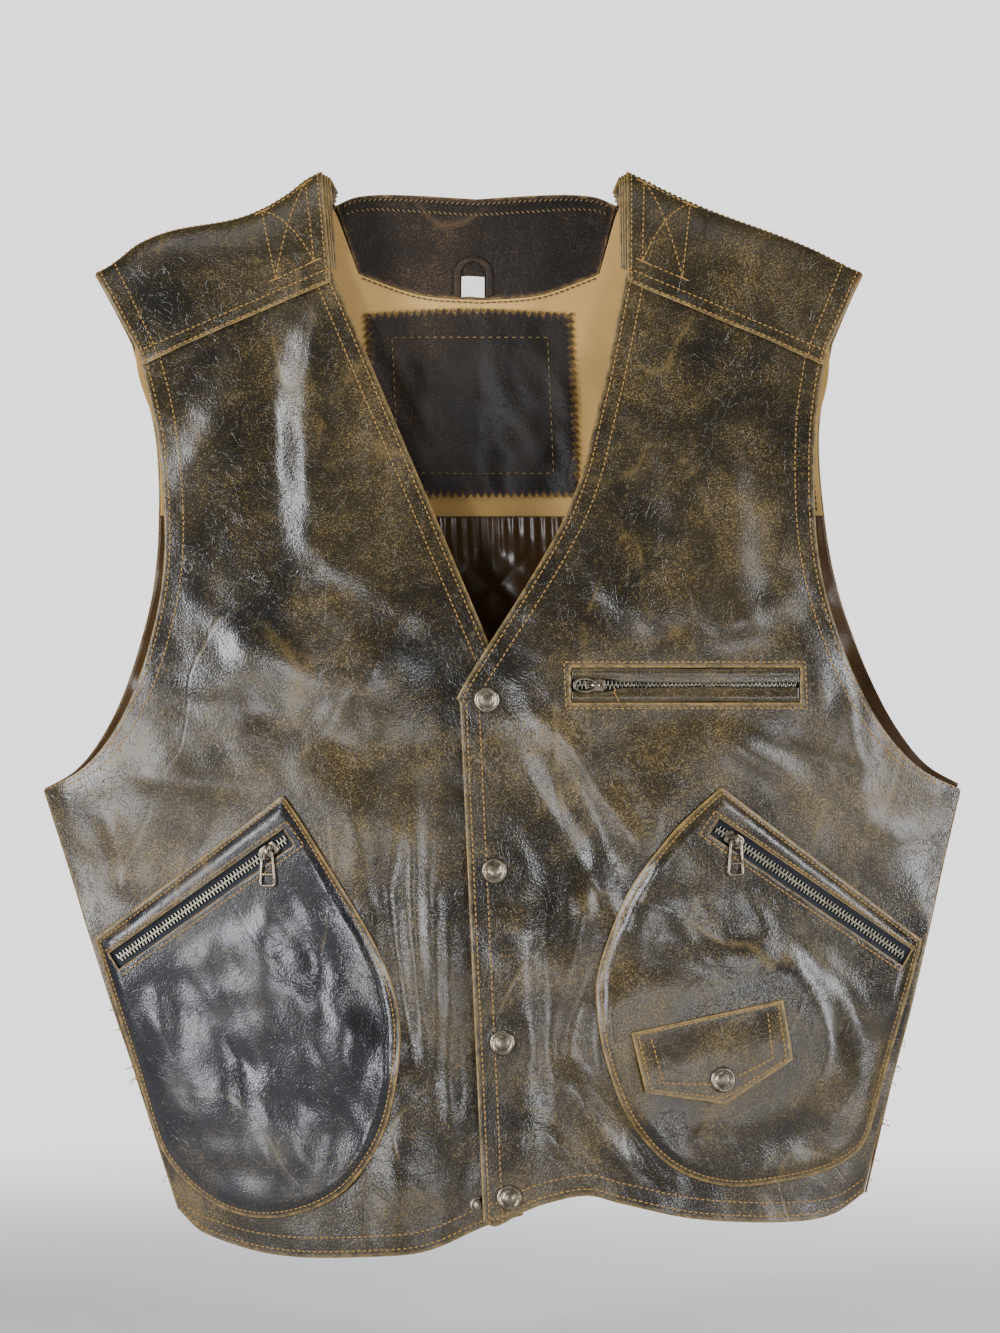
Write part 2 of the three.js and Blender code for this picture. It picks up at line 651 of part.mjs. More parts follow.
function pocketOutline(name) {
  const sign = name === 'left' ? 1 : -1;
  const curve = path(pocketCurves[name]);
  const corner = pocketCorner[name];
  const steps = 18;
  const points = Array.from({ length: steps + 1 }, (_, i) => curve(i / steps));
  const apex = points[points.length - 1];
  for (const t of [0.25, 0.5, 0.75, 1]) points.push(straight(apex, corner)(t));
  const start = points[0];
  for (const t of [0.33, 0.67]) points.push(straight(corner, [Math.min(start[0], sideAt(start[1]) - seamInset), start[1]])(t));
  return mirrored(points, sign);
}

function puffAt(outline) {
  return (x, z) => {
    let nearest = Infinity;
    outline.forEach((p, i) => {
      nearest = Math.min(nearest, awayFrom([x, z], p, outline[(i + 1) % outline.length]));
    });
    return softGap + (pocketPuff + gap - softGap) * ease(nearest / pocketRamp);
  };
}

const pocketRings = [0.35, 0.65, 0.82, 0.92, 1];
const flapFrame = snapFrame(...flap.stud, 0);
const flapOut = (x, z) => frontY(x, z) - gap - pocketPuff - leather;
for (const [name, side, frame] of [['left', 1, leftFrame], ['right', -1, rightFrame]]) {
  const outline = pocketOutline(name);
  const puff = puffAt(outline);
  const face = faceOf(side);
  const holes = [window(frame, pocketWindow, 1)];
  const centre = name === 'left' ? [140, -475] : [-150, -485];
  const body = patch(
    outline, centre, pocketRings,
    (x, z) => face(x, z) - puff(x, z) - leather,
    (x, z) => face(x, z) - puff(x, z),
  );
  part(`${name}_pocket`, cut(body, holes), name === 'left' ? 'shellLeather' : 'pocketLeather');
}

// ---------------------------------------------------------------- flap on the left pocket

// The flap hangs a stud's height off the pocket, and its stud is riveted to the pocket.
const flapStand = 0.4;
const flapRise = 3.4;
const flapCentre = [113, -508];
const flapSpread = (x, z) => {
  const t = awayFrom([x, z], ...flap.hinge) / 26;
  return flapStand + flapRise * ease(t);
};
const flapBody = patch(
  flap.outline.flatMap((p, i) => {
    const q = flap.outline[(i + 1) % flap.outline.length];
    return [0, 1 / 3, 2 / 3].map((t) => straight(p, q)(t));
  }),
  flapCentre, [0.5, 1],
  (x, z) => flapOut(x, z) - flapSpread(x, z) - leather,
  (x, z) => flapOut(x, z) - flapSpread(x, z),
);
const studDepth = flapSpread(...flap.stud);
const flapOutward = new THREE.Vector3(flapFlat.slopeX, -1, flapFlat.slopeZ + hangLean * flapFlat.slopeX).normalize();
const flapUp = new THREE.Vector3(0, 0, 1).addScaledVector(flapOutward, -flapOutward.z).normalize();
const flapSnap = (rise) => ({
  at: hang(flap.stud[0], flapOut(...flap.stud), flap.stud[1]).addScaledVector(flapOutward, rise),
  x: new THREE.Vector3().crossVectors(flapOutward, flapUp),
  y: flapOutward,
  z: new THREE.Vector3().crossVectors(new THREE.Vector3().crossVectors(flapOutward, flapUp), flapOutward),
});
const flapCap = lathe([
  [0, -leather - 1], [shankRadius, -leather - 1], [shankRadius, gap], [capRadius - 0.2, gap],
  [capRadius, 1], [capRadius - 1.2, 2], [capRadius - 2.4, 1.8], [capRadius - 3, 2.3], [0, capHeight],
]);
const flapSocket = lathe([
  [shankRadius + runClearance, -leather - gap], [socketRadius - 1, -leather - gap],
  [socketRadius - 1, -leather - gap - 1.6], [knobRadius, -leather - gap - 1.6], [knobRadius, -leather - gap - 1],
  [shankRadius + runClearance, -leather - gap - 1], [shankRadius + runClearance, -leather - gap],
]);
const flapStud = lathe([[0, gap], [studRadius, gap], [studRadius, gap + 0.5], [knobRadius - 0.5, gap + 0.5],
  [knobRadius - 0.4, gap + 1.1], [0, gap + 1.1]]);
const outerRise = studDepth + leather;
const flapHole = atFrame(holeShape(shankRadius + runClearance, 4, -6), flapSnap(outerRise));
part('pocket_flap', cut(flapBody, [flapHole]), 'shellLeather');
stand(part('flap_snap_cap', flapCap, 'oldBrass'), flapSnap(outerRise));
stand(part('flap_snap_socket', flapSocket, 'oldBrass'), flapSnap(outerRise));
stand(part('flap_snap_stud', flapStud, 'oldBrass'), flapSnap(0));

// ---------------------------------------------------------------- shoulder yokes

// A band over the shoulder: two quarter ellipses from the front seam over the ridge to the back seam.
function shoulderBand(side, cols, rows, near, far) {
  const layer = (depth) => (u, v) => {
    const turn = mix(-Math.PI / 2, Math.PI / 2, v);
    const front = turn < 0;
    const seam = front ? straight(frontSeamNeck, frontSeamTip)(u) : straight(backSeamNeck, backSeamTip)(u);
    const ridge = straight([neckHalf, 0], [tipHalf, tipZ])(u);
    const half = front ? -frontY(seam[0] * side, seam[1]) : backY(...seam);
    const c = Math.cos(turn);
    const z = mix(seam[1] + gap, ridge[1] - depth, c);
    return hang(side * mix(seam[0], ridge[0], c), (half - depth) * Math.sin(turn), z);
  };
  return sheet(cols, rows, layer(near), layer(far));
}
for (const [name, side] of [['left', 1], ['right', -1]]) {
  part(`${name}_shoulder_yoke`, shoulderBand(side, 7, 12, 0, yokeLeather), 'shellLeather');
  const under = yokeLeather + gap;
  part(`${name}_yoke_lining`, shoulderBand(side, 7, 10, under, under + cotton), 'beigeCotton');
}

// ---------------------------------------------------------------- back

const centreGap = gap / 2;
const backArmhole = path(armholePoints.map(([x, z], i) => {
  const share = Math.sin((Math.PI * i) / (armholePoints.length - 1));
  return i === 0 ? backSeamTip : [x + backArmholeOut * share, z];
}));
const backOuter = joined(backArmhole, sideSeam);
const backInner = joined(
  straight([centreGap, neckCentreZ], [centreGap, underarmZ]),
  straight([centreGap, underarmZ], [centreGap, hemZ]),
);
const backCols = [0, 0.14, 0.28, 0.402, 0.52, 0.64, 0.76, 0.88, 1];
for (const [name, side] of [['left', 1], ['right', -1]]) {
  const grid = between(backInner, backOuter, (x) => backTopAt(x), (x) => backHem(side * x));
  const layer = (depth) => (u, v) => {
    const [x, z] = grid(u, v);
    return hang(side * x, backY(x, z) - depth, z);
  };
  part(`${name}_back_panel`, sheet(backCols, 18, layer(0), layer(leather)), 'shellLeather');
}

const backBehind = leather + softGap;

// Inner faces of the back: the leather neck facing, a cotton panel and the quilted satin below.
const facingFoot = { centre: -73, side: [70, -58] };
const cottonFoot = -199;
const facingLow = line([[0, facingFoot.centre], [35, -70], facingFoot.side]);
const armholeWidth = (z) => {
  let [low, high] = [0, 1];
  for (let k = 0; k < 24; k += 1) {
    const m = (low + high) / 2;
    if (backArmhole(m)[1] > z) low = m;
    else high = m;
  }
  return backArmhole(low)[0];
};
const backWidth = (z) => (z > underarmZ ? armholeWidth(Math.min(z, backSeamTip[1])) : sideAt(z)) - 2;

function backLayer(cols, rows, spot, near, far) {
  const layer = (depth) => (u, v) => {
    const [x, z] = spot(u, v);
    return hang(x, backY(x, z) - depth(u, v), z);
  };
  return sheet(cols, rows, layer(near), layer(far));
}

const facingSpot = (u, v) => {
  const s = 2 * u - 1;
  const half = mix(backSeamNeck[0] - gap, facingFoot.side[0], v);
  const top = backTopAt(s * (backSeamNeck[0] - gap)) - gap;
  return [s * half, mix(top, facingLow(Math.abs(s) * facingFoot.side[0]), v)];
};
part('neck_facing', backLayer(8, 3, facingSpot, () => backBehind, () => backBehind + facingLeather), 'innerLeather');

const cottonTop = (x) => {
  const a = Math.abs(x);
  const [sideX, sideZ] = facingFoot.side;
  if (a <= sideX) return facingLow(a) - gap;
  if (a < backSeamNeck[0] + 1) return mix(sideZ, backSeamNeck[1], (a - sideX) / (backSeamNeck[0] + 1 - sideX)) - 3 * gap;
  return backSeam(a) - gap;
};
const cottonTopHalf = backSeamTip[0] - 2;
const cottonXs = [0, 17.5, 35, 52.5, facingFoot.side[0], backSeamNeck[0] + 1, 110, 140, 170, cottonTopHalf];
const cottonCols = [...cottonXs.slice(1).reverse().map((x) => -x), ...cottonXs]
  .map((x) => 0.5 + x / cottonTopHalf / 2);
const cottonSpot = (u, v) => {
  const s = 2 * u - 1;
  const z = mix(cottonTop(s * cottonTopHalf), cottonFoot, v);
  const edgeZ = mix(backSeamTip[1], cottonFoot, v);
  return [s * mix(cottonTopHalf, backWidth(edgeZ), ease(v * 2)), z];
};
part('upper_lining', backLayer(cottonCols, 5, cottonSpot, () => backBehind, () => backBehind + cotton), 'beigeCotton');

const quiltLoft = 1.7;
const quiltSpot = (u, v) => {
  const s = 2 * u - 1;
  const edge = mix(cottonFoot - gap, hemZ + 8, v);
  const foot = backHem(s * hemHalf) + 8;
  const z = mix(cottonFoot - gap, foot, v);
  return [s * backWidth(edge), z];
};
const quiltCols = [0, 0.03, 0.1, 0.2, 0.31, 0.44, 0.56, 0.69, 0.8, 0.9, 0.97, 1];
part('quilted_lining', backLayer(
  quiltCols, 13, quiltSpot,
  () => backBehind,
  (u) => backBehind + cotton + quiltLoft * Math.min(1, 30 * u * (1 - u)),
), 'brownSatin');

const patchSize = { across: -7, wide: 119, top: -82, foot: -187 };
const patchSpot = (u, v) => [
  patchSize.across + (u - 0.5) * patchSize.wide,
  mix(patchSize.top, patchSize.foot, v),
];
const patchDepth = backBehind + cotton + gap;
part('lining_patch', backLayer(7, 6, patchSpot, () => patchDepth, () => patchDepth + facingLeather), 'innerLeather');

// ---------------------------------------------------------------- hanging loop and size label

const loop = { across: -4, wide: 22, strap: 3.4, top: -47.5, foot: -71, thick: 1.5 };
const label = { wide: 13.6, top: -59.5, foot: -71.5, thick: 0.4 };
const loopDepth = backBehind + facingLeather + gap;
const loopY = backY(loop.across, (loop.top + loop.foot) / 2) - loopDepth;
const facingSlope = (backY(loop.across, loop.top) - backY(loop.across, loop.foot)) / (loop.top - loop.foot);
const loopAway = Math.atan(facingSlope);
const loopShape = new THREE.Shape();
const arch = loop.wide / 2;
const rise = loop.top - loop.foot - arch;
loopShape.moveTo(-arch, 0);
loopShape.lineTo(-arch, rise);
loopShape.absarc(0, rise, arch, Math.PI, 0, true);
loopShape.lineTo(arch, 0);
loopShape.lineTo(arch - loop.strap, 0);
loopShape.lineTo(arch - loop.strap, rise);
loopShape.absarc(0, rise, arch - loop.strap, 0, Math.PI, false);
loopShape.lineTo(-arch + loop.strap, 0);
const loopFrame = {
  at: hang(loop.across, backY(loop.across, loop.foot) - loopDepth, loop.foot),
  x: new THREE.Vector3(1, 0, 0),
  y: new THREE.Vector3(0, Math.sin(loopAway), Math.cos(loopAway)),
  z: new THREE.Vector3(0, -Math.cos(loopAway), Math.sin(loopAway)),
};
const loopSolid = new THREE.ExtrudeGeometry(loopShape, { depth: loop.thick, bevelEnabled: false, curveSegments: 7 });
stand(part('hanging_loop', loopSolid, 'innerLeather'), loopFrame);
const labelSolid = box(-label.wide / 2, label.wide / 2, label.foot - loop.foot, label.top - loop.foot, 0, label.thick);
stand(part('size_label', labelSolid, 'labelCloth'), loopFrame);

export default vest;
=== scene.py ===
# %% [markdown]
# # A distressed leather waistcoat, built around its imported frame
# The vest hangs by its shoulders. It is a soft shell: two leather fronts, a back, two shoulder yokes,
# and linings behind them, with snaps, zips and pockets on the fronts.
# All of it is drawn on two gently bulging surfaces, one for the front and one for the back,
# so each piece only has to say where it lies on them and how far it stands off.

# %% Load the fixed frame
import math

import bmesh
import bpy
import numpy as np
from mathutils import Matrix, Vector


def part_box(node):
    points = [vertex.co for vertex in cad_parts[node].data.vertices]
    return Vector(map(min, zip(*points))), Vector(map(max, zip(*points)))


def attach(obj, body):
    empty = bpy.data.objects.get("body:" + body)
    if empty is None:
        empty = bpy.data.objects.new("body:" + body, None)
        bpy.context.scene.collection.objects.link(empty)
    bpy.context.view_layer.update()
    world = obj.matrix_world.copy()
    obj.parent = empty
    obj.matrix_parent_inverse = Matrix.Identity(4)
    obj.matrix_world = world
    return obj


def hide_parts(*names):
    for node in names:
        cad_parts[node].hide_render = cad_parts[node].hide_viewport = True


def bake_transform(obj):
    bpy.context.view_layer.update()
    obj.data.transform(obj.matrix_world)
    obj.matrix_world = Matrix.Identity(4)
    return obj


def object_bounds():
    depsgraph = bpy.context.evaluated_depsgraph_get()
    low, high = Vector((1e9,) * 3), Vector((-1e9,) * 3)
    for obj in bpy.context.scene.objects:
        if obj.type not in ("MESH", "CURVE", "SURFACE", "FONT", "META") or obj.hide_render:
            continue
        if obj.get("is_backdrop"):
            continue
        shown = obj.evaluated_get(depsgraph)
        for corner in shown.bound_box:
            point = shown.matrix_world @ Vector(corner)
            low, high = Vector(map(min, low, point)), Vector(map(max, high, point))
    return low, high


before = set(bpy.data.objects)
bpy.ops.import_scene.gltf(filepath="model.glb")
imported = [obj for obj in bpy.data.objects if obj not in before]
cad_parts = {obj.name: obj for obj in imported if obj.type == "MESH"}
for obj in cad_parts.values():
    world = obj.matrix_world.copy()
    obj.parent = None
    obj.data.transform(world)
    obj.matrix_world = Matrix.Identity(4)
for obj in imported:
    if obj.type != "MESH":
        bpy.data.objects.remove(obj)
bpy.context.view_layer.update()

# %% [markdown]
# ## Camera, light and floor
# The camera stands far back with a long lens, level with the middle of the vest, so that both shoulders
# and the hem are seen straight on. Tall narrow lights at both sides give leather its long pale highlights.
# There is only a floor: a wall behind the vest would hide it from the other side.

# %% Camera
LENS_DISTANCE = 2.5
VIEW_HEIGHT = 0.763
SENSOR = 36.0
EYE_ACROSS, EYE_HIGH, FRONT_DEPTH = 0.0149, -0.287, 0.02
low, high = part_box("left_front_panel")
scene = bpy.context.scene
camera = bpy.data.objects.new("camera", bpy.data.cameras.new("camera"))
scene.collection.objects.link(camera)
camera.data.sensor_width = SENSOR
camera.data.lens = SENSOR * LENS_DISTANCE / VIEW_HEIGHT
camera.location = (EYE_ACROSS, low.y + FRONT_DEPTH - LENS_DISTANCE, EYE_HIGH)
camera.rotation_euler = (math.radians(90), 0, 0)
scene.camera = camera
print("lens:", round(camera.data.lens, 1), "mm, from", LENS_DISTANCE, "m")


# %% Soft lights and the room
def soft_light(name, place, aim, size, watts, tint=(0.93, 0.95, 1.0)):
    """A rectangular area light at a place, turned to face its aim."""
    data = bpy.data.lights.new(name, "AREA")
    data.shape = "RECTANGLE"
    data.size, data.size_y = size
    data.energy = watts
    data.color = tint
    lamp = bpy.data.objects.new(name, data)
    lamp.location = place
    lamp.rotation_euler = (Vector(aim) - Vector(place)).to_track_quat("-Z", "Y").to_euler()
    scene.collection.objects.link(lamp)


soft_light("overhead", (-0.15, -0.9, 1.15), (0, 0, -0.35), (1.5, 0.5), 7)
soft_light("front_left", (-0.60, -2.2, -0.80), (0, 0, -0.45), (0.14, 0.6), 19)
soft_light("front_right", (0.85, -2.1, -0.80), (0, 0, -0.45), (0.14, 0.6), 10)
soft_light("left_window", (-1.5, -1.25, -0.05), (0, 0, -0.3), (0.24, 1.6), 52)
soft_light("right_window", (1.6, -1.0, -0.15), (0, 0, -0.3), (0.18, 1.4), 34)
soft_light("back_fill", (0.5, 1.9, 0.7), (0, 0, -0.3), (1.2, 1.2), 40)

# The camera sees a bright backdrop, while the vest is lit by a much dimmer room.
world = bpy.data.worlds.new("studio")
scene.world = world
world.use_nodes = True
backdrop = world.node_tree.nodes["Background"]
backdrop.inputs["Color"].default_value = (1.0, 0.985, 1.0, 1)
backdrop.inputs["Strength"].default_value = 1.9
room = world.node_tree.nodes.new("ShaderNodeBackground")
room.inputs["Color"].default_value = (1.0, 0.98, 0.93, 1)
room.inputs["Strength"].default_value = 0.17
choice = world.node_tree.nodes.new("ShaderNodeMixShader")
seen = world.node_tree.nodes.new("ShaderNodeLightPath").outputs["Is Camera Ray"]
world.node_tree.links.new(seen, choice.inputs[0])
world.node_tree.links.new(room.outputs[0], choice.inputs[1])
world.node_tree.links.new(backdrop.outputs[0], choice.inputs[2])
surroundings = world.node_tree.nodes["World Output"]
world.node_tree.links.new(choice.outputs[0], surroundings.inputs["Surface"])
print("camera,", len(bpy.data.lights), "lights and the world are in place")

# %% [markdown]
# ## Small helpers
# Shapes are worked out in millimetres, in body coordinates: how far across the body, and how high.
# The vest hangs a little askew, so a point moves sideways as it lies lower.

# %% Curves and blends
LEAN = 0.045
MM = 0.001
rng = np.random.default_rng(7)


def mix(a, b, t):
    """Straight blend: a at 0, b at 1."""
    return a + (b - a) * t


def ease(t):
    """Smooth step: 3t^2 - 2t^3 between 0 and 1."""
    c = np.clip(t, 0, 1)
    return c * c * (3 - 2 * c)


def hang(across, y, z):
    """World point of a body point: x = across - lean * z."""
    across, y, z = np.broadcast_arrays(across, y, z)
    return np.stack([across - LEAN * z, y, z], -1)


def polyline(points, t):
    """The point at share t of the length of a broken line."""
    points = np.asarray(points, float)
    run = np.concatenate([[0], np.cumsum(np.linalg.norm(np.diff(points, axis=0), axis=1))])
    run /= run[-1]
    return np.stack([np.interp(t, run, points[:, k]) for k in range(points.shape[1])], -1)


def path(points):
    """Catmull-Rom curve through points, walked from 0 to 1 by its length."""
    p = np.asarray(points, float)
    last = len(p) - 1
    s = np.linspace(0, last, 40 * last + 1)
    i = np.minimum(s.astype(int), last - 1)
    t = (s - i)[:, None]
    p1, p2 = p[i], p[i + 1]
    v0 = (p2 - p[np.maximum(i - 1, 0)]) / 2
    v1 = (p[np.minimum(i + 2, last)] - p1) / 2
    dense = (2 * p1 - 2 * p2 + v0 + v1) * t**3 + (-3 * p1 + 3 * p2 - 2 * v0 - v1) * t**2 + v0 * t + p1
    return lambda t: polyline(dense, t)


def straight(a, b):
    """A straight line from a to b, walked from 0 to 1."""
    return lambda t: mix(np.array(a, float), np.array(b, float), np.asarray(t, float)[..., None])


def joined(first, second):
    """Two curves walked one after the other, half of the way each."""
    return lambda t: np.where(
        np.asarray(t)[..., None] < 0.5,
        first(np.clip(2 * np.asarray(t), 0, 1)),
        second(np.clip(2 * np.asarray(t) - 1, 0, 1)),
    )


def line(points):
    """Smooth height over x: cubic pieces whose slopes come from the neighbouring points."""
    p = np.asarray(points, float)
    n = len(p)
    a, b = p[np.maximum(np.arange(n) - 1, 0)], p[np.minimum(np.arange(n) + 1, n - 1)]
    slope = (b[:, 1] - a[:, 1]) / (b[:, 0] - a[:, 0])

    def height(x):
        x = np.asarray(x, float)
        i = np.clip(np.searchsorted(p[:, 0], x, "right") - 1, 0, n - 2)
        w = p[i + 1, 0] - p[i, 0]
        t = np.clip((x - p[i, 0]) / w, 0, 1)
        bend = w * (t * (1 - t) ** 2 * slope[i] - t * t * (1 - t) * slope[i + 1])
        return mix(p[i, 1], p[i + 1, 1], ease(t)) + bend

    return height


def away(x, z, a, b):
    """Distance from points (x, z) to the segment from a to b."""
    d = np.array(b, float) - np.array(a, float)
    t = np.clip(((x - a[0]) * d[0] + (z - a[1]) * d[1]) / (d @ d), 0, 1)
    return np.hypot(x - a[0] - t * d[0], z - a[1] - t * d[1])


# %% [markdown]
# ## The body's two surfaces
# These are the surfaces that the frame was drawn on. The bulge is flat at the side seams and full
# in the middle, and it grows from the shoulders to the chest. Zips and the pocket flap lie on flat
# places fitted into the front. Below, the front's depth at one point of the chest is printed beside the
# frame's.

# %% Body surfaces
CHEST_HALF, HEM_HALF, UNDERARM, HEM = 266, 199, -358, -600
SIDE_DEPTH, ROUNDNESS = 3, 2.6
BULGE_TOP, BULGE_FULL = -57, -280
LEATHER, FACING, GAP, SOFT_GAP, COTTON = 1.6, 1.2, 0.3, 0.7, 0.8
PLACKET = -21.7
CHEST_Z = -297.6
CHEST_ZIP = ((42, CHEST_Z), (173, CHEST_Z))
LEFT_ZIP = ((119, -378), (227, -454))
RIGHT_ZIP = ((-122, -384), (-226, -456))
FLAP_LINE = ((88, -508), (142, -502))


def side_at(z):
    """Half width: constant above the underarm, narrowing evenly to the hem."""
    return mix(CHEST_HALF, HEM_HALF, np.maximum(0, (z - UNDERARM) / (HEM - UNDERARM)))


def bulge(across, z, small, full):
    """Height of the bulge: grows downward, and falls to nothing at the sides as 1 - share^2.6."""
    grown = mix(small, full, ease((z - BULGE_TOP) / (BULGE_FULL - BULGE_TOP)))
    return grown * (1 - np.minimum(1, np.abs(across) / side_at(z)) ** ROUNDNESS)


def bare_front(across, z):
    """The front of the body before drape and folds."""
    return -SIDE_DEPTH - bulge(across, z, 14, 48)


def back_face(across, z):
    """The back's outer face; near the side seams it closes on the front's edge."""
    return SIDE_DEPTH + bulge(across, z, 16, 34)


def flat_place(a, b, reach, fade, inset=0):
    """A plane fitted to the bare front around a segment, whole within reach and gone after fade."""
    a, b = (a[0] + inset, a[1]), (b[0] - inset, b[1])
    x, z = (a[0] + b[0]) / 2, (a[1] + b[1]) / 2
    step = 4
    slope_x = (bare_front(x + step, z) - bare_front(x - step, z)) / (2 * step)
    slope_z = (bare_front(x, z + step) - bare_front(x, z - step)) / (2 * step)
    level = ((bare_front(*a) + bare_front(*b)) / 2 + bare_front(x, z)) / 2
    return dict(
        a=a, b=b, reach=reach, fade=fade, slope=(slope_x, slope_z),
        plane=lambda p, q: level + slope_x * (p - x) + slope_z * (q - z),
    )


flats = {
    "chest": flat_place(*CHEST_ZIP, 16, 32, 13),
    "left": flat_place(*LEFT_ZIP, 20, 45),
    "right": flat_place(*RIGHT_ZIP, 20, 45),
    "flap": flat_place(*FLAP_LINE, 38, 22),
}


def calm_front(across, z):
    """The front's outer face without folds."""
    y = bare_front(across, z)
    for f in flats.values():
        share = 1 - ease((away(across, z, f["a"], f["b"]) - f["reach"]) / f["fade"])
        y = mix(y, f["plane"](across, z), share)
    return y


SNAP_STACK = 2 * LEATHER + 4.4


def step_under(across):
    """How far the right front steps back under the left one, to leave room for closed snaps."""
    return SNAP_STACK * ease((across - PLACKET + 52) / 44)


# %% [markdown]
# ## Folds
# Worn leather keeps the folds it was worn in. Each fold here is a soft ridge along a short line, and a sum
# of long waves makes the hide uneven between them. Both fade out wherever something is set into the
# leather, because snaps and zips hold it flat. All layers of the front share the same folds.

# %% Folds of the front
SNAP_SPOTS = [(-6.4, -306), (-6.4, -403), (-6.4, -501), (-6.4, -589), (-24, -594)]
FOLDS = [  # from, to, half width, height
    ((-88, -70), (-100, -215), 13, 3.2), ((-112, -88), (-134, -190), 12, -1.6),
    ((-150, -120), (-172, -190), 12, 1.5), ((-62, -120), (-92, -236), 9, -1.7),
    ((-120, -215), (-30, -262), 9, 1.3), ((-188, -250), (-96, -292), 12, 1.8),
    ((-206, -300), (-118, -322), 11, -1.7), ((-60, -262), (-108, -342), 9, 1.7),
    ((-222, -352), (-140, -352), 8, 1.6), ((-52, -350), (-48, -500), 7, 2.6),
    ((-66, -392), (-62, -520), 6, -1.5), ((-38, -420), (-34, -560), 6, 1.7),
    ((-232, -372), (-214, -420), 7, 1.4), ((40, -212), (96, -262), 11, 2.0),
    ((128, -150), (150, -260), 15, 1.9), ((96, -112), (112, -220), 12, -1.7),
    ((176, -238), (122, -276), 9, 1.4), ((196, -300), (216, -362), 9, 1.9),
    ((32, -318), (86, -400), 8, 2.4), ((14, -340), (58, -432), 8, -1.8),
    ((20, -420), (26, -540), 8, 2.1), ((46, -396), (32, -492), 6, 1.7),
    ((30, -520), (66, -576), 6, 2.8), ((44, -508), (84, -588), 5, -1.8),
    ((14, -552), (48, -586), 5, 1.7), ((118, -322), (176, -352), 9, 1.8),
    ((200, -380), (236, -380), 8, 1.3), ((150, -328), (214, -356), 7, -1.3),
]
FOLD_GAIN, WAVE_GAIN = 1.3, 0.55
wave_turn = rng.uniform(0, math.pi, 26)
wave_long = np.concatenate([rng.uniform(55, 150, 12), rng.uniform(16, 40, 14)])
wave_high = np.concatenate([rng.uniform(0.35, 0.75, 12), rng.uniform(0.05, 0.16, 14)])
wave_start = rng.uniform(0, 2 * math.pi, 26)


def waves(x, z):
    """Sum of 26 sine waves of fixed directions and lengths."""
    total = 0
    for turn, length, height, start in zip(wave_turn, wave_long, wave_high, wave_start):
        total = total + height * np.sin((x * np.cos(turn) + z * np.sin(turn)) * 2 * np.pi / length + start)
    return total


def held_flat(x, z):
    """0 beside snaps, zips, the flap, the shoulder seams and the side seams, 1 away from them."""
    free = ease((away(x, z, *CHEST_ZIP) - 17) / 18)
    free = free * ease((away(x, z, *LEFT_ZIP) - 14) / 18) * ease((away(x, z, *RIGHT_ZIP) - 14) / 18)
    free = free * ease((away(x, z, *FLAP_LINE) - 36) / 16)
    for spot in SNAP_SPOTS:
        free = free * ease((np.hypot(x - spot[0], z - spot[1]) - 8.5) / 12)
    seam = -57 - (np.abs(x) - 85.5) * 48 / 113.5
    return free * ease((seam - z - 3) / 30) * ease((side_at(z) - np.abs(x)) / 16)


def folds(x, z):
    """Outward height of all folds: height * exp(-(distance / half width)^2) each, tapered at its ends."""
    total = waves(x, z) * WAVE_GAIN
    for a, b, half, height in FOLDS:
        d = np.array(b, float) - np.array(a, float)
        t = ((x - a[0]) * d[0] + (z - a[1]) * d[1]) / (d @ d)
        side = ((x - a[0]) * d[1] - (z - a[1]) * d[0]) / np.linalg.norm(d)
        side = side + half * 0.5 * np.sin(3.1 * t + height)
        ends = ease((t + 0.2) / 0.5) * ease((1.2 - t) / 0.5)
        total = total + FOLD_GAIN * height * np.exp(-((side / half) ** 2)) * ends
    return total * held_flat(x, z)


def left_face(x, z):
    """Depth of the left front's outer face."""
    return calm_front(x, z) - folds(x, z)


def right_face(x, z):
    """The same for the right front, which steps back under the left one."""
    return left_face(x, z) + step_under(x)


def back_outer(x, z):
    """The back's outer face with its own slight waves."""
    calm = ease((side_at(z) - np.abs(x)) / 30) * ease((-60 - z) / 60)
    return back_face(x, z) + 0.9 * waves(1.3 * x + 90, z - 40) * calm


drawn = round(float(calm_front(60, -450)), 2)
print("front face at the chest: drawn", drawn, "frame", round(low.y / MM, 2))

# %% [markdown]
# ## Making meshes
# A leather panel is a closed sheet: an outer grid, an inner grid and a rim between them. The outer grid dips
# towards its border, which rounds the cut edge. Every vertex also stores its distance to the nearest
# edge, because the finish needs it: leather is rubbed pale where it was cut and handled.

# %% Mesh builders
collection = scene.collection
totals = {"pieces": 0, "faces": 0}


def build(name, points, faces, material, edge=None, smooth=True):
    """A mesh from points in millimetres; faces is one array of corner numbers, or a list of them."""
    mesh = bpy.data.meshes.new(name)
    lists = [faces] if isinstance(faces, np.ndarray) else faces
    flat = np.concatenate([f.ravel() for f in lists]).astype(np.int32)
    sizes = np.concatenate([np.full(len(f), f.shape[1]) for f in lists]).astype(np.int32)
    mesh.vertices.add(len(points))
    mesh.vertices.foreach_set("co", (np.asarray(points, np.float64) * MM).astype(np.float32).ravel())
    mesh.loops.add(len(flat))
    mesh.loops.foreach_set("vertex_index", flat)
    mesh.polygons.add(len(sizes))
    mesh.polygons.foreach_set("loop_start", np.concatenate([[0], np.cumsum(sizes)[:-1]]).astype(np.int32))
    mesh.update(calc_edges=True)
    mesh.polygons.foreach_set("use_smooth", np.full(len(sizes), smooth))
    if edge is not None:
        mesh.attributes.new("edge", "FLOAT", "POINT").data.foreach_set("value", edge.astype(np.float32))
    mesh.materials.append(materials[material])
    piece = bpy.data.objects.new(name, mesh)
    collection.objects.link(piece)
    totals["pieces"] += 1
    totals["faces"] += len(sizes)
    return piece


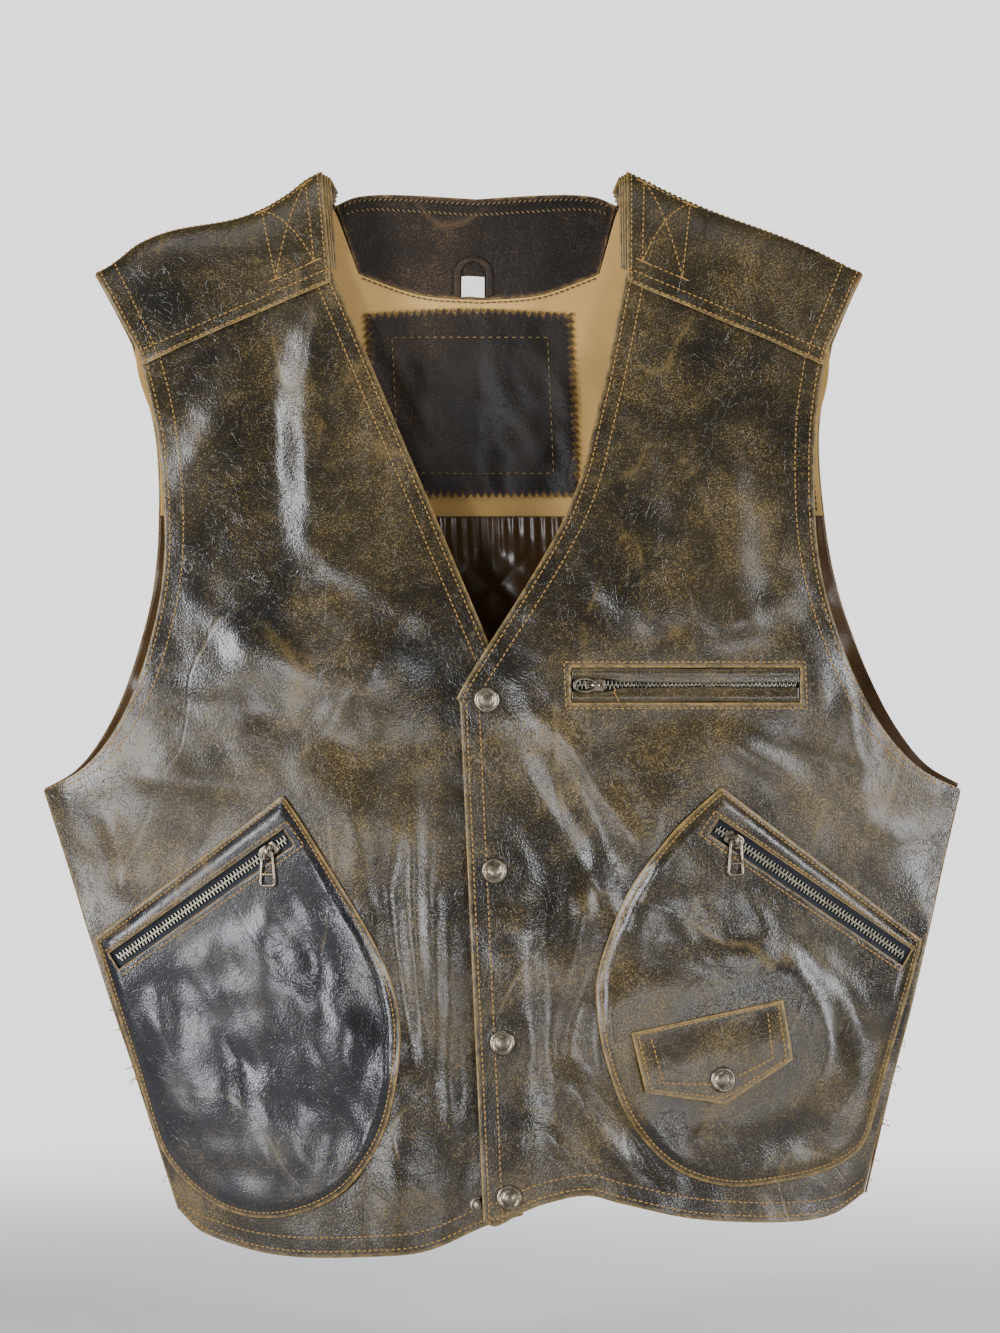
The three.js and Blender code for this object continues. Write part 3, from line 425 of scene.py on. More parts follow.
def face_out(piece):
    """Turns the faces of a closed mesh outward."""
    work = bmesh.new()
    work.from_mesh(piece.data)
    bmesh.ops.recalc_face_normals(work, faces=work.faces)
    work.to_mesh(piece.data)
    work.free()
    return piece


def quads(rows, cols, start=0, wrap=False):
    """Corner numbers of a grid's cells; a wrapped grid closes on itself across."""
    i = np.arange(cols if wrap else cols - 1)
    j = np.arange(rows - 1)[:, None]
    a = start + j * cols + i
    b = start + j * cols + (i + 1) % cols
    return np.stack([a, b, b + cols, a + cols], -1).reshape(-1, 4)


def edge_distance(grid):
    """Each grid point's distance to the nearest border, measured along rows and columns."""
    best = None
    for axis in (0, 1):
        step = np.linalg.norm(np.diff(grid, axis=axis), axis=-1)
        run = np.concatenate([np.zeros_like(step.take([0], axis)), np.cumsum(step, axis)], axis)
        near = np.minimum(run, run.take([-1], axis) - run)
        best = near if best is None else np.minimum(best, near)
    return best


def sheet_mesh(name, outer, inner, material):
    """A closed sheet from two grids of the same size."""
    rows, cols = outer.shape[:2]
    count = rows * cols
    at = np.arange(count).reshape(rows, cols)
    border = np.concatenate([at[0, :-1], at[:-1, -1], at[-1, :0:-1], at[:0:-1, 0]])
    after = np.roll(border, -1)
    rim = np.stack([border, after, after + count, border + count], -1)
    faces = np.concatenate([quads(rows, cols), quads(rows, cols, count)[:, ::-1], rim])
    points = np.concatenate([outer.reshape(-1, 3), inner.reshape(-1, 3)])
    edge = edge_distance(outer).ravel()
    return face_out(build(name, points, faces, material, np.concatenate([edge, edge])))


EDGE_STEPS = np.array([0, 0.35, 0.8, 1.5, 2.6, 4.2])


def rounded(edge, radius=0.7):
    """How far a face dips at a distance from its edge: a quarter circle."""
    e = np.clip(edge / radius, 0, 1)
    return radius * (1 - np.sqrt(np.clip(1 - (1 - e) ** 2, 0, 1)))


def columns(count, width):
    """Shares from 0 to 1 along a width: evenly spaced, but close together at both edges."""
    steps = EDGE_STEPS / width[..., None]
    inner = mix(steps[..., -1:], 1 - steps[..., -1:], np.linspace(0, 1, count))
    return np.concatenate([steps[..., :-1], inner, 1 - steps[..., -2::-1]], -1)


def panel(name, spot, face, out, rise, thick, material, count, wide, tall, round_edge=0.7):
    """A closed sheet on a body surface: spot(u, v) is its place, rise its outer face's height over it."""
    v = columns(count[1], np.array(tall, float))[:, None]
    u = columns(count[0], np.asarray(wide(v[:, 0]) if callable(wide) else np.full(len(v), wide), float))
    x, z = spot(u, v + 0 * u)
    y = face(x, z)
    high_by = rise(x, z, u, v) if callable(rise) else rise
    deep = thick(x, z, u, v) if callable(thick) else thick
    flat = hang(x, y, z)
    edge = edge_distance(flat)
    dip = rounded(edge, round_edge)
    outer = flat + np.array([0, out, 0]) * (high_by - dip)[..., None]
    inner = flat + np.array([0, out, 0]) * (high_by - deep + 0.4 * dip)[..., None]
    piece = sheet_mesh(name, outer, inner, material)
    piece["cut_to"] = cut_size(outer)
    return piece


def cut_size(grid):
    """Width, length and area in metres of a grid laid flat: its widest row, longest column and cell areas."""
    wide = np.linalg.norm(np.diff(grid, axis=1), axis=-1).sum(1).max() * MM
    tall = np.linalg.norm(np.diff(grid, axis=0), axis=-1).sum(0).max() * MM
    a = grid[1:, 1:] - grid[:-1, :-1]
    b = grid[1:, :-1] - grid[:-1, 1:]
    area = np.linalg.norm(np.cross(a, b), axis=-1).sum() / 2 * MM * MM
    return [float(wide), float(tall), float(area)]


# %% [markdown]
# ## Finishes
# Distressed leather is dyed dark over a light hide, then rubbed. What shows is three things at three sizes:
# slow changes of the dye, patches where the top colour is dusted off in fine specks, and pale creases.
# One node group makes all three and the grain, and each leather gives it its own colours.

# %% Node helpers
def add(tree, kind, settings=None, **inputs):
    """Adds a node; an input is named by its socket, or i0, i1 ... by its place."""
    made = tree.nodes.new(kind)
    for key, value in (settings or {}).items():
        setattr(made, key, value)
    for key, value in inputs.items():
        numbered = key[0] == "i" and key[1:].isdigit()
        socket = made.inputs[int(key[1:])] if numbered else made.inputs[key.replace("_", " ")]
        if isinstance(value, bpy.types.NodeSocket):
            tree.links.new(value, socket)
        else:
            socket.default_value = value
    return made


def math_node(tree, operation, a, b=0.0, clamp=False):
    """One sum of two values or sockets."""
    return add(tree, "ShaderNodeMath", {"operation": operation, "use_clamp": clamp}, i0=a, i1=b).outputs[0]


def between(tree, value, start, end, low_value=0.0, high_value=1.0):
    """Smooth step of a value from start to end, put out from low to high."""
    made = add(tree, "ShaderNodeMapRange", {"interpolation_type": "SMOOTHSTEP"}, i0=value, i1=start, i2=end)
    made.inputs[3].default_value = low_value
    made.inputs[4].default_value = high_value
    return made.outputs[0]


def blend_colour(tree, share, a, b, how="MIX"):
    """Colour a where the share is 0 and b where it is 1."""
    made = add(tree, "ShaderNodeMix", {"data_type": "RGBA", "blend_type": how}, i0=share, i6=a, i7=b)
    return made.outputs[2]


def noise(tree, where, scale, detail=2.0, roughness=0.5, distortion=0.0):
    """Noise value from 0 to 1 at the given coordinates."""
    made = add(
        tree, "ShaderNodeTexNoise", None, Vector=where, Scale=scale, Detail=detail,
        Roughness=roughness, Distortion=distortion,
    )
    return made.outputs[0]


def stretched(tree, where, scale, turn=(0, 0, 0), shift=(0, 0, 0)):
    """Coordinates turned and scaled, for a pattern that runs one way."""
    made = add(tree, "ShaderNodeMapping", None, Vector=where, Location=shift, Rotation=turn, Scale=scale)
    return made.outputs[0]


def new_group(name, inputs, outputs):
    """A shader node group with named sockets; returns the tree, its inputs and its output node."""
    tree = bpy.data.node_groups.new(name, "ShaderNodeTree")
    for label, kind, value in inputs:
        socket = tree.interface.new_socket(label, in_out="INPUT", socket_type=kind)
        socket.default_value = value
    for label, kind in outputs:
        tree.interface.new_socket(label, in_out="OUTPUT", socket_type=kind)
    return tree, tree.nodes.new("NodeGroupInput").outputs, tree.nodes.new("NodeGroupOutput")


COLOUR, NUMBER = "NodeSocketColor", "NodeSocketFloat"
print("mesh builders and node helpers are ready")

# %% The leather group
leather_tree, given, result = new_group(
    "distressed_leather",
    [("Deep", COLOUR, (0.0060, 0.0060, 0.0055, 1)), ("Body", COLOUR, (0.023, 0.0165, 0.0065, 1)),
     ("Rub", COLOUR, (0.182, 0.122, 0.040, 1)), ("Hide", COLOUR, (0.30, 0.185, 0.056, 1)),
     ("Rubbing", NUMBER, 0.5), ("Edge wear", NUMBER, 1.0), ("Dulling", NUMBER, 0.0)],
    [("Color", COLOUR), ("Roughness", NUMBER), ("Height", NUMBER)],
)
t = leather_tree
where = add(t, "ShaderNodeTexCoord").outputs["Object"]
cloud = noise(t, where, 9, 4, 0.55, 0.4)
patch = noise(t, where, 26, 6, 0.62, 0.6)
speck = noise(t, where, 1150, 2, 0.6)
mottle = noise(t, where, 190, 4, 0.6)
ridge = noise(t, stretched(t, where, (1.0, 1.0, 0.7), (0, 0.5, 0)), 9, 1.5, 0.45, 0.5)
crease = between(t, math_node(t, "ABSOLUTE", math_node(t, "SUBTRACT", ridge, 0.5)), 0.016, 0.0)
fine_ridge = noise(t, where, 60, 3, 0.55, 1.2)
fine_middle = math_node(t, "ABSOLUTE", math_node(t, "SUBTRACT", fine_ridge, 0.5))
fine_crease = between(t, fine_middle, 0.012, 0.0)
scratch_base = noise(t, stretched(t, where, (1, 1, 0.06), (0, 0.75, 0)), 120, 2, 0.5)
scratch = between(t, scratch_base, 0.70, 0.76)

dusty = math_node(t, "ADD", patch, math_node(t, "MULTIPLY", math_node(t, "SUBTRACT", cloud, 0.5), 0.55))
more_rubbed = math_node(t, "MULTIPLY", math_node(t, "SUBTRACT", given["Rubbing"], 0.5), 0.5)
dusty = math_node(t, "ADD", dusty, more_rubbed)
dusty = between(t, dusty, 0.26, 0.84)
threshold = math_node(t, "SUBTRACT", 0.585, math_node(t, "MULTIPLY", dusty, 0.11))
grainy = math_node(t, "ADD", math_node(t, "MULTIPLY", speck, 0.88), math_node(t, "MULTIPLY", mottle, 0.12))
dots = between(t, math_node(t, "SUBTRACT", grainy, threshold), -0.01, 0.09)
rubbed = math_node(t, "MULTIPLY", dots, math_node(t, "ADD", math_node(t, "MULTIPLY", dusty, 0.5), 0.28))
lines = math_node(t, "MULTIPLY", crease, between(t, patch, 0.44, 0.62, 0.0, 0.55))
fine_lines = math_node(t, "MULTIPLY", fine_crease, between(t, cloud, 0.48, 0.62, 0.0, 0.16))
lines = math_node(t, "MAXIMUM", lines, fine_lines)
scratched = math_node(t, "MULTIPLY", scratch, between(t, patch, 0.5, 0.7, 0.0, 0.2))
lines = math_node(t, "MAXIMUM", lines, scratched)
lines = math_node(t, "MULTIPLY", lines, between(t, grainy, 0.40, 0.56, 0.25, 1.0))
rubbed = math_node(t, "MAXIMUM", rubbed, lines)

edge = add(t, "ShaderNodeAttribute", {"attribute_name": "edge"}).outputs["Fac"]
ragged = math_node(t, "ADD", edge, math_node(t, "MULTIPLY", math_node(t, "SUBTRACT", mottle, 0.5), 5.0))
worn = math_node(t, "MULTIPLY", between(t, ragged, 3.4, 0.3, 0.0, 0.78), given["Edge wear"])
worn = math_node(t, "MULTIPLY", worn, between(t, grainy, 0.36, 0.54, 0.45, 1.0))
raw = math_node(t, "MULTIPLY", between(t, ragged, 1.1, 0.2), given["Edge wear"])

dye = blend_colour(t, between(t, cloud, 0.28, 0.70), given["Deep"], given["Body"])
dust = blend_colour(t, 0.16, given["Body"], given["Rub"])
dye = blend_colour(t, math_node(t, "MULTIPLY", dusty, 0.45), dye, dust)
dye = blend_colour(t, rubbed, dye, given["Rub"])
dye = blend_colour(t, worn, dye, given["Rub"])
dye = blend_colour(t, math_node(t, "MULTIPLY", raw, 0.65), dye, given["Hide"])
t.links.new(dye, result.inputs["Color"])

shine = between(t, cloud, 0.35, 0.65, 0.20, 0.30)
shine = math_node(t, "ADD", shine, math_node(t, "MULTIPLY", dusty, 0.06))
shine = math_node(t, "ADD", shine, math_node(t, "MULTIPLY", math_node(t, "MAXIMUM", rubbed, worn), 0.14))
t.links.new(math_node(t, "ADD", shine, given["Dulling"]), result.inputs["Roughness"])

pebble = add(t, "ShaderNodeTexVoronoi", {"feature": "DISTANCE_TO_EDGE"}, Vector=where, Scale=480).outputs[0]
pebble = between(t, pebble, 0.0, 0.22)
height = math_node(t, "ADD", math_node(t, "MULTIPLY", pebble, 0.10), math_node(t, "MULTIPLY", mottle, 0.35))
height = math_node(t, "ADD", height, math_node(t, "MULTIPLY", speck, 0.16))
height = math_node(t, "ADD", height, math_node(t, "MULTIPLY", noise(t, where, 75, 3, 0.5), 1.0))
all_creases = math_node(t, "MAXIMUM", crease, fine_crease)
height = math_node(t, "SUBTRACT", height, math_node(t, "MULTIPLY", all_creases, 0.25))
t.links.new(height, result.inputs["Height"])
print("leather group:", len(leather_tree.nodes), "nodes")

# %% [markdown]
# Cloth is woven, so its group crosses two fine waves, one for each direction of thread, and adds slubs.
# Brass and nickel go dull and dark in their corners; their group mixes a clean and a dark metal by noise.

# %% Weave and metal groups
weave_tree, given, result = new_group(
    "woven_cloth",
    [("Light", COLOUR, (0.5, 0.4, 0.25, 1)), ("Dark", COLOUR, (0.3, 0.2, 0.1, 1)),
     ("Threads", NUMBER, 1800.0)],
    [("Color", COLOUR), ("Height", NUMBER)],
)
t = weave_tree
where = add(t, "ShaderNodeTexCoord").outputs["Object"]
apart = add(t, "ShaderNodeSeparateXYZ", None, i0=where)
strands = []
for axis in (0, 2):
    phase = math_node(t, "MULTIPLY", apart.outputs[axis], given["Threads"])
    strands.append(math_node(t, "ABSOLUTE", math_node(t, "SINE", phase)))
slub = noise(t, stretched(t, where, (0.25, 1, 2.2)), 300, 3, 0.6)
upper_strand = math_node(t, "MAXIMUM", strands[0], strands[1])
cover = math_node(t, "MULTIPLY", upper_strand, between(t, slub, 0.3, 0.7, 0.75, 1.0))
stain = noise(t, where, 22, 4, 0.6)
cover = math_node(t, "MULTIPLY", cover, between(t, stain, 0.25, 0.7, 0.7, 1.0))
t.links.new(blend_colour(t, cover, given["Dark"], given["Light"]), result.inputs["Color"])
t.links.new(upper_strand, result.inputs["Height"])

metal_tree, given, result = new_group(
    "aged_metal",
    [("Clean", COLOUR, (0.45, 0.38, 0.26, 1)), ("Tarnish", COLOUR, (0.07, 0.055, 0.04, 1)),
     ("Age", NUMBER, 0.5)],
    [("Color", COLOUR), ("Roughness", NUMBER), ("Height", NUMBER)],
)
t = metal_tree
where = add(t, "ShaderNodeTexCoord").outputs["Object"]
dull = noise(t, where, 160, 5, 0.6, 0.4)
fine = noise(t, where, 2600, 2, 0.6)
aged = between(t, math_node(t, "ADD", dull, math_node(t, "MULTIPLY", given["Age"], 0.3)), 0.48, 0.82)
t.links.new(blend_colour(t, aged, given["Clean"], given["Tarnish"]), result.inputs["Color"])
dulled = math_node(t, "MULTIPLY", aged, 0.3)
t.links.new(math_node(t, "ADD", dulled, between(t, fine, 0.3, 0.7, 0.2, 0.3)), result.inputs["Roughness"])
t.links.new(fine, result.inputs["Height"])
print("cloth group:", len(weave_tree.nodes), "nodes; metal group:", len(metal_tree.nodes), "nodes")

# %% Materials
materials = {}


def finish_material(name, tree, values, bump, distance, **shader):
    """A Principled material fed by one group; plain numbers go on the shader's own sockets."""
    material = bpy.data.materials.new(name)
    material.use_nodes = True
    nodes = material.node_tree
    principled = nodes.nodes["Principled BSDF"]
    group = nodes.nodes.new("ShaderNodeGroup")
    group.node_tree = tree
    for label, value in values.items():
        group.inputs[label].default_value = value
    nodes.links.new(group.outputs["Color"], principled.inputs["Base Color"])
    if "Roughness" in group.outputs:
        nodes.links.new(group.outputs["Roughness"], principled.inputs["Roughness"])
    grain = group.outputs["Height"]
    relief = add(nodes, "ShaderNodeBump", None, Strength=bump, Distance=distance, Height=grain)
    nodes.links.new(relief.outputs[0], principled.inputs["Normal"])
    for label, value in shader.items():
        principled.inputs[label.replace("_", " ")].default_value = value
    materials[name] = material


def rgb(r, g, b):
    """An opaque colour."""
    return (r, g, b, 1)


finish_material("shell_leather", leather_tree, {"Rubbing": 0.55}, 0.45, 0.0007)
finish_material("pocket_leather", leather_tree, {
    "Deep": rgb(0.005, 0.006, 0.009), "Body": rgb(0.009, 0.009, 0.011), "Rubbing": 0.22,
}, 0.45, 0.0006)
finish_material("inner_leather", leather_tree, {
    "Deep": rgb(0.006, 0.0055, 0.005), "Body": rgb(0.014, 0.010, 0.007), "Rub": rgb(0.11, 0.065, 0.03),
    "Rubbing": 0.16, "Edge wear": 0.7, "Dulling": 0.16,
}, 0.5, 0.0007, Specular_IOR_Level=0.2)
finish_material("beige_cotton", weave_tree, {
    "Light": rgb(0.52, 0.325, 0.100), "Dark": rgb(0.37, 0.215, 0.062), "Threads": 4200.0,
}, 0.3, 0.0002, Roughness=0.9, Sheen_Weight=0.25)
finish_material("brown_satin", weave_tree, {
    "Light": rgb(0.085, 0.046, 0.017), "Dark": rgb(0.032, 0.016, 0.007), "Threads": 9000.0,
}, 0.1, 0.0001, Roughness=0.27, Sheen_Weight=0.15)
finish_material("label_cloth", weave_tree, {
    "Light": rgb(0.86, 0.85, 0.82), "Dark": rgb(0.62, 0.60, 0.56), "Threads": 6000.0,
}, 0.3, 0.0002, Roughness=0.8)
finish_material("zip_tape", weave_tree, {
    "Light": rgb(0.032, 0.036, 0.046), "Dark": rgb(0.010, 0.011, 0.015), "Threads": 4600.0,
}, 0.6, 0.0003, Roughness=0.85)
finish_material("old_brass", metal_tree, {
    "Clean": rgb(0.235, 0.20, 0.145), "Tarnish": rgb(0.060, 0.048, 0.033), "Age": 0.3,
}, 0.2, 0.0001, Metallic=1.0)
finish_material("bright_metal", metal_tree, {
    "Clean": rgb(0.40, 0.37, 0.29), "Tarnish": rgb(0.10, 0.085, 0.06), "Age": 0.3,
}, 0.1, 0.0001, Metallic=1.0)
finish_material("thread", weave_tree, {
    "Light": rgb(0.37, 0.215, 0.052), "Dark": rgb(0.21, 0.112, 0.028), "Threads": 9000.0,
}, 0.5, 0.0002, Roughness=0.75)
# A darker, duller copy of the thread colour: painted shade for the stitches inside the back.
finish_material("shaded_thread", weave_tree, {
    "Light": rgb(0.19, 0.125, 0.050), "Dark": rgb(0.10, 0.062, 0.024), "Threads": 9000.0,
}, 0.5, 0.0002, Roughness=0.8)
finish_material("dark_thread", weave_tree, {
    "Light": rgb(0.075, 0.045, 0.022), "Dark": rgb(0.03, 0.018, 0.010), "Threads": 9000.0,
}, 0.5, 0.0002, Roughness=0.8)
print("finishes:", ", ".join(materials))

# %% The floor
FLOOR_Z, FLOOR_RADIUS = -0.70, 1.6
floor_mesh = bpy.data.meshes.new("floor")
turns = np.linspace(0, 2 * np.pi, 96, endpoint=False)
circle = [(FLOOR_RADIUS * math.cos(a), FLOOR_RADIUS * math.sin(a), FLOOR_Z) for a in turns]
floor_mesh.from_pydata(circle, [], [list(range(len(circle)))])
floor = bpy.data.objects.new("floor", floor_mesh)
collection.objects.link(floor)
floor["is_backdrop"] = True
floor_look = bpy.data.materials.new("floor_paint")
floor_look.use_nodes = True
tree = floor_look.node_tree
where = add(tree, "ShaderNodeTexCoord").outputs["Object"]
middle = add(tree, "ShaderNodeVectorMath", {"operation": "LENGTH"}, i0=where).outputs["Value"]
rim = between(tree, middle, 0.8, FLOOR_RADIUS * 0.98, 1.0, 0.0)
principled = tree.nodes["Principled BSDF"]
tone = blend_colour(tree, noise(tree, where, 30, 3), rgb(0.68, 0.68, 0.70), rgb(0.74, 0.74, 0.76))
tree.links.new(tone, principled.inputs["Base Color"])
tree.links.new(rim, principled.inputs["Alpha"])
principled.inputs["Roughness"].default_value = 0.6
floor_mesh.materials.append(floor_look)
print("floor at", FLOOR_Z, "m, fading out towards its rim")

# %% [markdown]
# ## The two fronts
# A front is cut from one piece: a straight placket or crossing edge, the V of the neck, the shoulder seam,
# the armhole, the side seam and a hem that has gone wavy with wear. The left front closes over the right.
# Each is a grid stretched between its inner and outer edge, so its rows follow the cut.

# %% Outlines of the fronts
SEAM_NECK, SEAM_TIP = (85.5, -57), (199, -105)
armhole_points = [
    SEAM_TIP, (190, -150), (187, -200), (190, -240), (200, -278),
    (213, -309), (228, -332), (245, -348), (CHEST_HALF, UNDERARM),
]
side_seam = straight((CHEST_HALF, UNDERARM), (HEM_HALF, HEM))
outer_edge = joined(path(armhole_points), side_seam)
V_FOOT = -306
left_edge = joined(
    path([SEAM_NECK, (66, -134), (42, -203), (PLACKET + 3.5, -296), (PLACKET, V_FOOT)]),
    straight((PLACKET, V_FOOT), (PLACKET, -603)),
)
UNDER_CORNER, UNDER_FOOT = (18, -331), (1, HEM)
right_edge = joined(straight((-85.5, -57), UNDER_CORNER), straight(UNDER_CORNER, UNDER_FOOT))
left_hem = line([
    (PLACKET, -603), (-14.7, -605.5), (0, -598), (16, -592), (38.5, -588), (56, -592.5),
    (102, -602.5), (155, -606), (180, -603), (HEM_HALF, -592),
])
right_hem = line([
    (-HEM_HALF, -601), (-184.7, -614), (-142.6, -624.5), (-82, -623), (-52, -619.5), (-20, -606), UNDER_FOOT,
])
LINE_REACH = 0.22


def between_edges(inner, outer, top, bottom):
    """Grid point (u, v): a straight blend of the edges, pulled near its ends to a top and a bottom line."""

    def place(u, v):
        a, b = inner(v), outer(v)
        x = mix(a[..., 0], b[..., 0], u)
        z = mix(a[..., 1], b[..., 1], u)
        for pulled, end, share in ((top, 0.0, v), (bottom, 1.0, 1 - v)):
            if pulled:
                a, b = inner(end), outer(end)
                z = z + (pulled(mix(a[0], b[0], u)) - mix(a[1], b[1], u)) * ease(1 - share / LINE_REACH)
        return x, z

    return place


print("edges of the fronts run from", SEAM_NECK, "at the neck to", UNDERARM, "at the underarm")
fronts = {
    "left": between_edges(left_edge, outer_edge, None, left_hem),
    "right": between_edges(right_edge, lambda v: outer_edge(v) * np.array([-1, 1]), None, right_hem),
}
faces_of = {"left": left_face, "right": right_face}
FRONT_TALL, FRONT_WIDE = 550, 250


def front_width(side, v):
    """Distance from the inner to the outer edge at share v of the way down."""
    v = np.asarray(v, float)
    a, b = fronts[side](np.zeros_like(v), v), fronts[side](np.ones_like(v), v)
    return np.hypot(a[0] - b[0], a[1] - b[1])


def swing(piece):
    """Bakes a front piece's placement into its mesh; it is not attached to any body."""
    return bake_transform(piece)


# %% Cutting a window
def cut_window(piece, corner, x_axis, y_axis, z_axis, size, dyed=0.0):
    """Cuts a box from a piece: it starts at a corner and runs along three axes, in millimetres.

    A dyed edge counts as lying that far from the cut, so that it is rubbed less pale."""
    along, tall, deep = size
    grid = np.array([[i, j, k] for k in (-0.5, 0.5) for j in (-0.5, 0.5) for i in (0, 1)], float)
    points = corner + np.outer(grid[:, 0] * along, x_axis)
    points = points + np.outer(grid[:, 1] * tall, y_axis) + np.outer(grid[:, 2] * deep, z_axis)
    faces = np.array([[0, 1, 3, 2], [4, 6, 7, 5], [0, 4, 5, 1], [2, 3, 7, 6], [0, 2, 6, 4], [1, 5, 7, 3]])
    mesh = bpy.data.meshes.new("cutter")
    mesh.from_pydata([tuple(p * MM) for p in points], [], faces.tolist())
    cutter = bpy.data.objects.new("cutter", mesh)
    collection.objects.link(cutter)
    face_out(cutter)
    cut = piece.modifiers.new("cut", "BOOLEAN")
    cut.operation, cut.object, cut.solver = "DIFFERENCE", cutter, "EXACT"
    bpy.context.view_layer.update()
    evaluated = piece.evaluated_get(bpy.context.evaluated_depsgraph_get())
    fresh = bpy.data.meshes.new_from_object(evaluated)
    piece.modifiers.clear()
    piece.data = fresh
    bpy.data.objects.remove(cutter)
    co = np.empty(len(fresh.vertices) * 3, np.float32)
    fresh.vertices.foreach_get("co", co)
    offset = co.reshape(-1, 3) / MM - corner
    a, b = offset @ x_axis, offset @ y_axis
    outside = np.hypot(np.maximum(0, np.maximum(-a, a - along)), np.maximum(0, np.abs(b) - tall / 2))
    edge = np.zeros(len(fresh.vertices), np.float32)
    fresh.attributes["edge"].data.foreach_get("value", edge)
    fresh.attributes["edge"].data.foreach_set("value", np.minimum(edge, outside + dyed).astype(np.float32))
    fresh.polygons.foreach_set("use_smooth", np.ones(len(fresh.polygons), bool))
    return piece


def zip_frame(ends, flat):
    """A zip's place: where its chain starts, three directions (along, across, out) and its length."""
    a, b = (hang(p[0], flats[flat]["plane"](*p), p[1]) for p in ends)
    slope_x, slope_z = flats[flat]["slope"]
    out = np.array([slope_x, -1, slope_z + LEAN * slope_x])
    along = (b - a) / np.linalg.norm(b - a)
    out = out - (out @ along) * along
    out /= np.linalg.norm(out)
    return dict(at=a, x=along, y=np.cross(out, along), z=out, long=float(np.linalg.norm(b - a)))


zips = {
    "chest": zip_frame(CHEST_ZIP, "chest"),
    "left_pocket": zip_frame(LEFT_ZIP, "left"),
    "right_pocket": zip_frame(RIGHT_ZIP, "right"),
}
print("zip lengths:", {name: round(z["long"], 1) for name, z in zips.items()})

# %% The leather fronts
CHEST_WINDOW = 20
for side in ("left", "right"):
    front = panel(
        side + "_front_leather", fronts[side], faces_of[side], -1, 0.0, LEATHER, "shell_leather",
        (118, 210), lambda v, side=side: front_width(side, v), FRONT_TALL,
    )
    if side == "left":
        z = zips["chest"]
        cut_window(front, z["at"], z["x"], z["y"], z["z"], (z["long"], CHEST_WINDOW, 30))
    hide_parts(side + "_front_panel")
    swing(front)

# %% [markdown]
# Behind each front edge a strip of leather is turned in, and the rest is lined with brown satin.
# The lining hangs loose, further off the leather in the middle than at its own edges.

# %% Facings and linings of the fronts
FACING_WIDE, LINING_SLACK, HEM_SHORT = 45, 6.2, 0.988


def facing_spot(side):
    """Places on the facing: the strip of the front nearest its opening edge."""
    return lambda u, v: fronts[side](u * FACING_WIDE / front_width(side, v), v * HEM_SHORT)


def lining_spot(side):
    """Places on the lining: the rest of the front, from the facing to the side seam."""
    def place(u, v):
        wide = front_width(side, v)
        start = (FACING_WIDE + GAP) / wide
        return fronts[side](mix(start, 1 - 2 / wide, u), v * HEM_SHORT)
    return place


def lining_slack(x, z, u, v):
    """Depth of the lining: full in the middle, and ramping down over its own borders."""
    slack = LINING_SLACK * np.minimum(1, np.minimum(40 * u, 16 * (1 - u))) * np.minimum(1, 10 * v * (1 - v))
    return -(LEATHER + SOFT_GAP + slack)


for side in ("left", "right"):
    facing = panel(
        side + "_facing", facing_spot(side), faces_of[side], -1, -(LEATHER + GAP), FACING, "inner_leather",
        (14, 130), FACING_WIDE, FRONT_TALL, 0.5,
    )
    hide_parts(side + "_front_facing")
    lining = panel(
        side + "_lining", lining_spot(side), faces_of[side], -1, lining_slack, COTTON, "brown_satin",
        (60, 110), lambda v, side=side: front_width(side, v) - FACING_WIDE, FRONT_TALL, 0.3,
    )
    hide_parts(side + "_front_lining")
    for piece in (facing, lining):
        swing(piece)

# %% [markdown]
# ## Stitches
# Every seam is sewn with thick orange-tan thread. A stitch is a short thread lying on the leather whose ends
# dive into it. One small shape is copied along each row by arrays, as far apart as the needle steps.

# %% Rows of stitches
STITCH, STITCH_PITCH, THREAD_HALF = 2.45, 3.3, 0.40
RING = np.array([[np.cos(a), np.sin(a)] for a in np.arange(6) * np.pi / 3])
STITCH_ROWS = np.array([  # share of the length, thickness, height
    [-0.5, 0.45, -0.42], [-0.30, 0.95, 0.0], [0.0, 1.05, 0.12], [0.30, 0.95, 0.0], [0.5, 0.45, -0.42],
])


def stitch_shape():
    """Points (along, across, out) of one stitch: rings along the thread, sunk at both ends."""
    along = np.repeat(STITCH_ROWS[:, 0] * STITCH, len(RING))
    thickness = np.repeat(STITCH_ROWS[:, 1], len(RING))[:, None] * THREAD_HALF
    ring = np.tile(RING, (len(STITCH_ROWS), 1)) * thickness
    out = ring[:, 1] + np.repeat(STITCH_ROWS[:, 2], len(RING))
    points = np.stack([along, ring[:, 0], out], -1)
    sides = quads(len(STITCH_ROWS), len(RING), 0, wrap=True)
    last = (len(STITCH_ROWS) - 1) * len(RING)
    near_cap = [[0, 5, 4, 3], [0, 3, 2, 1]]
    caps = np.array(near_cap + [[last + k for k in (0, 1, 2, 3)], [last + k for k in (0, 3, 4, 5)]])
    return points, np.concatenate([sides, caps])


STITCH_POINTS, STITCH_FACES = stitch_shape()


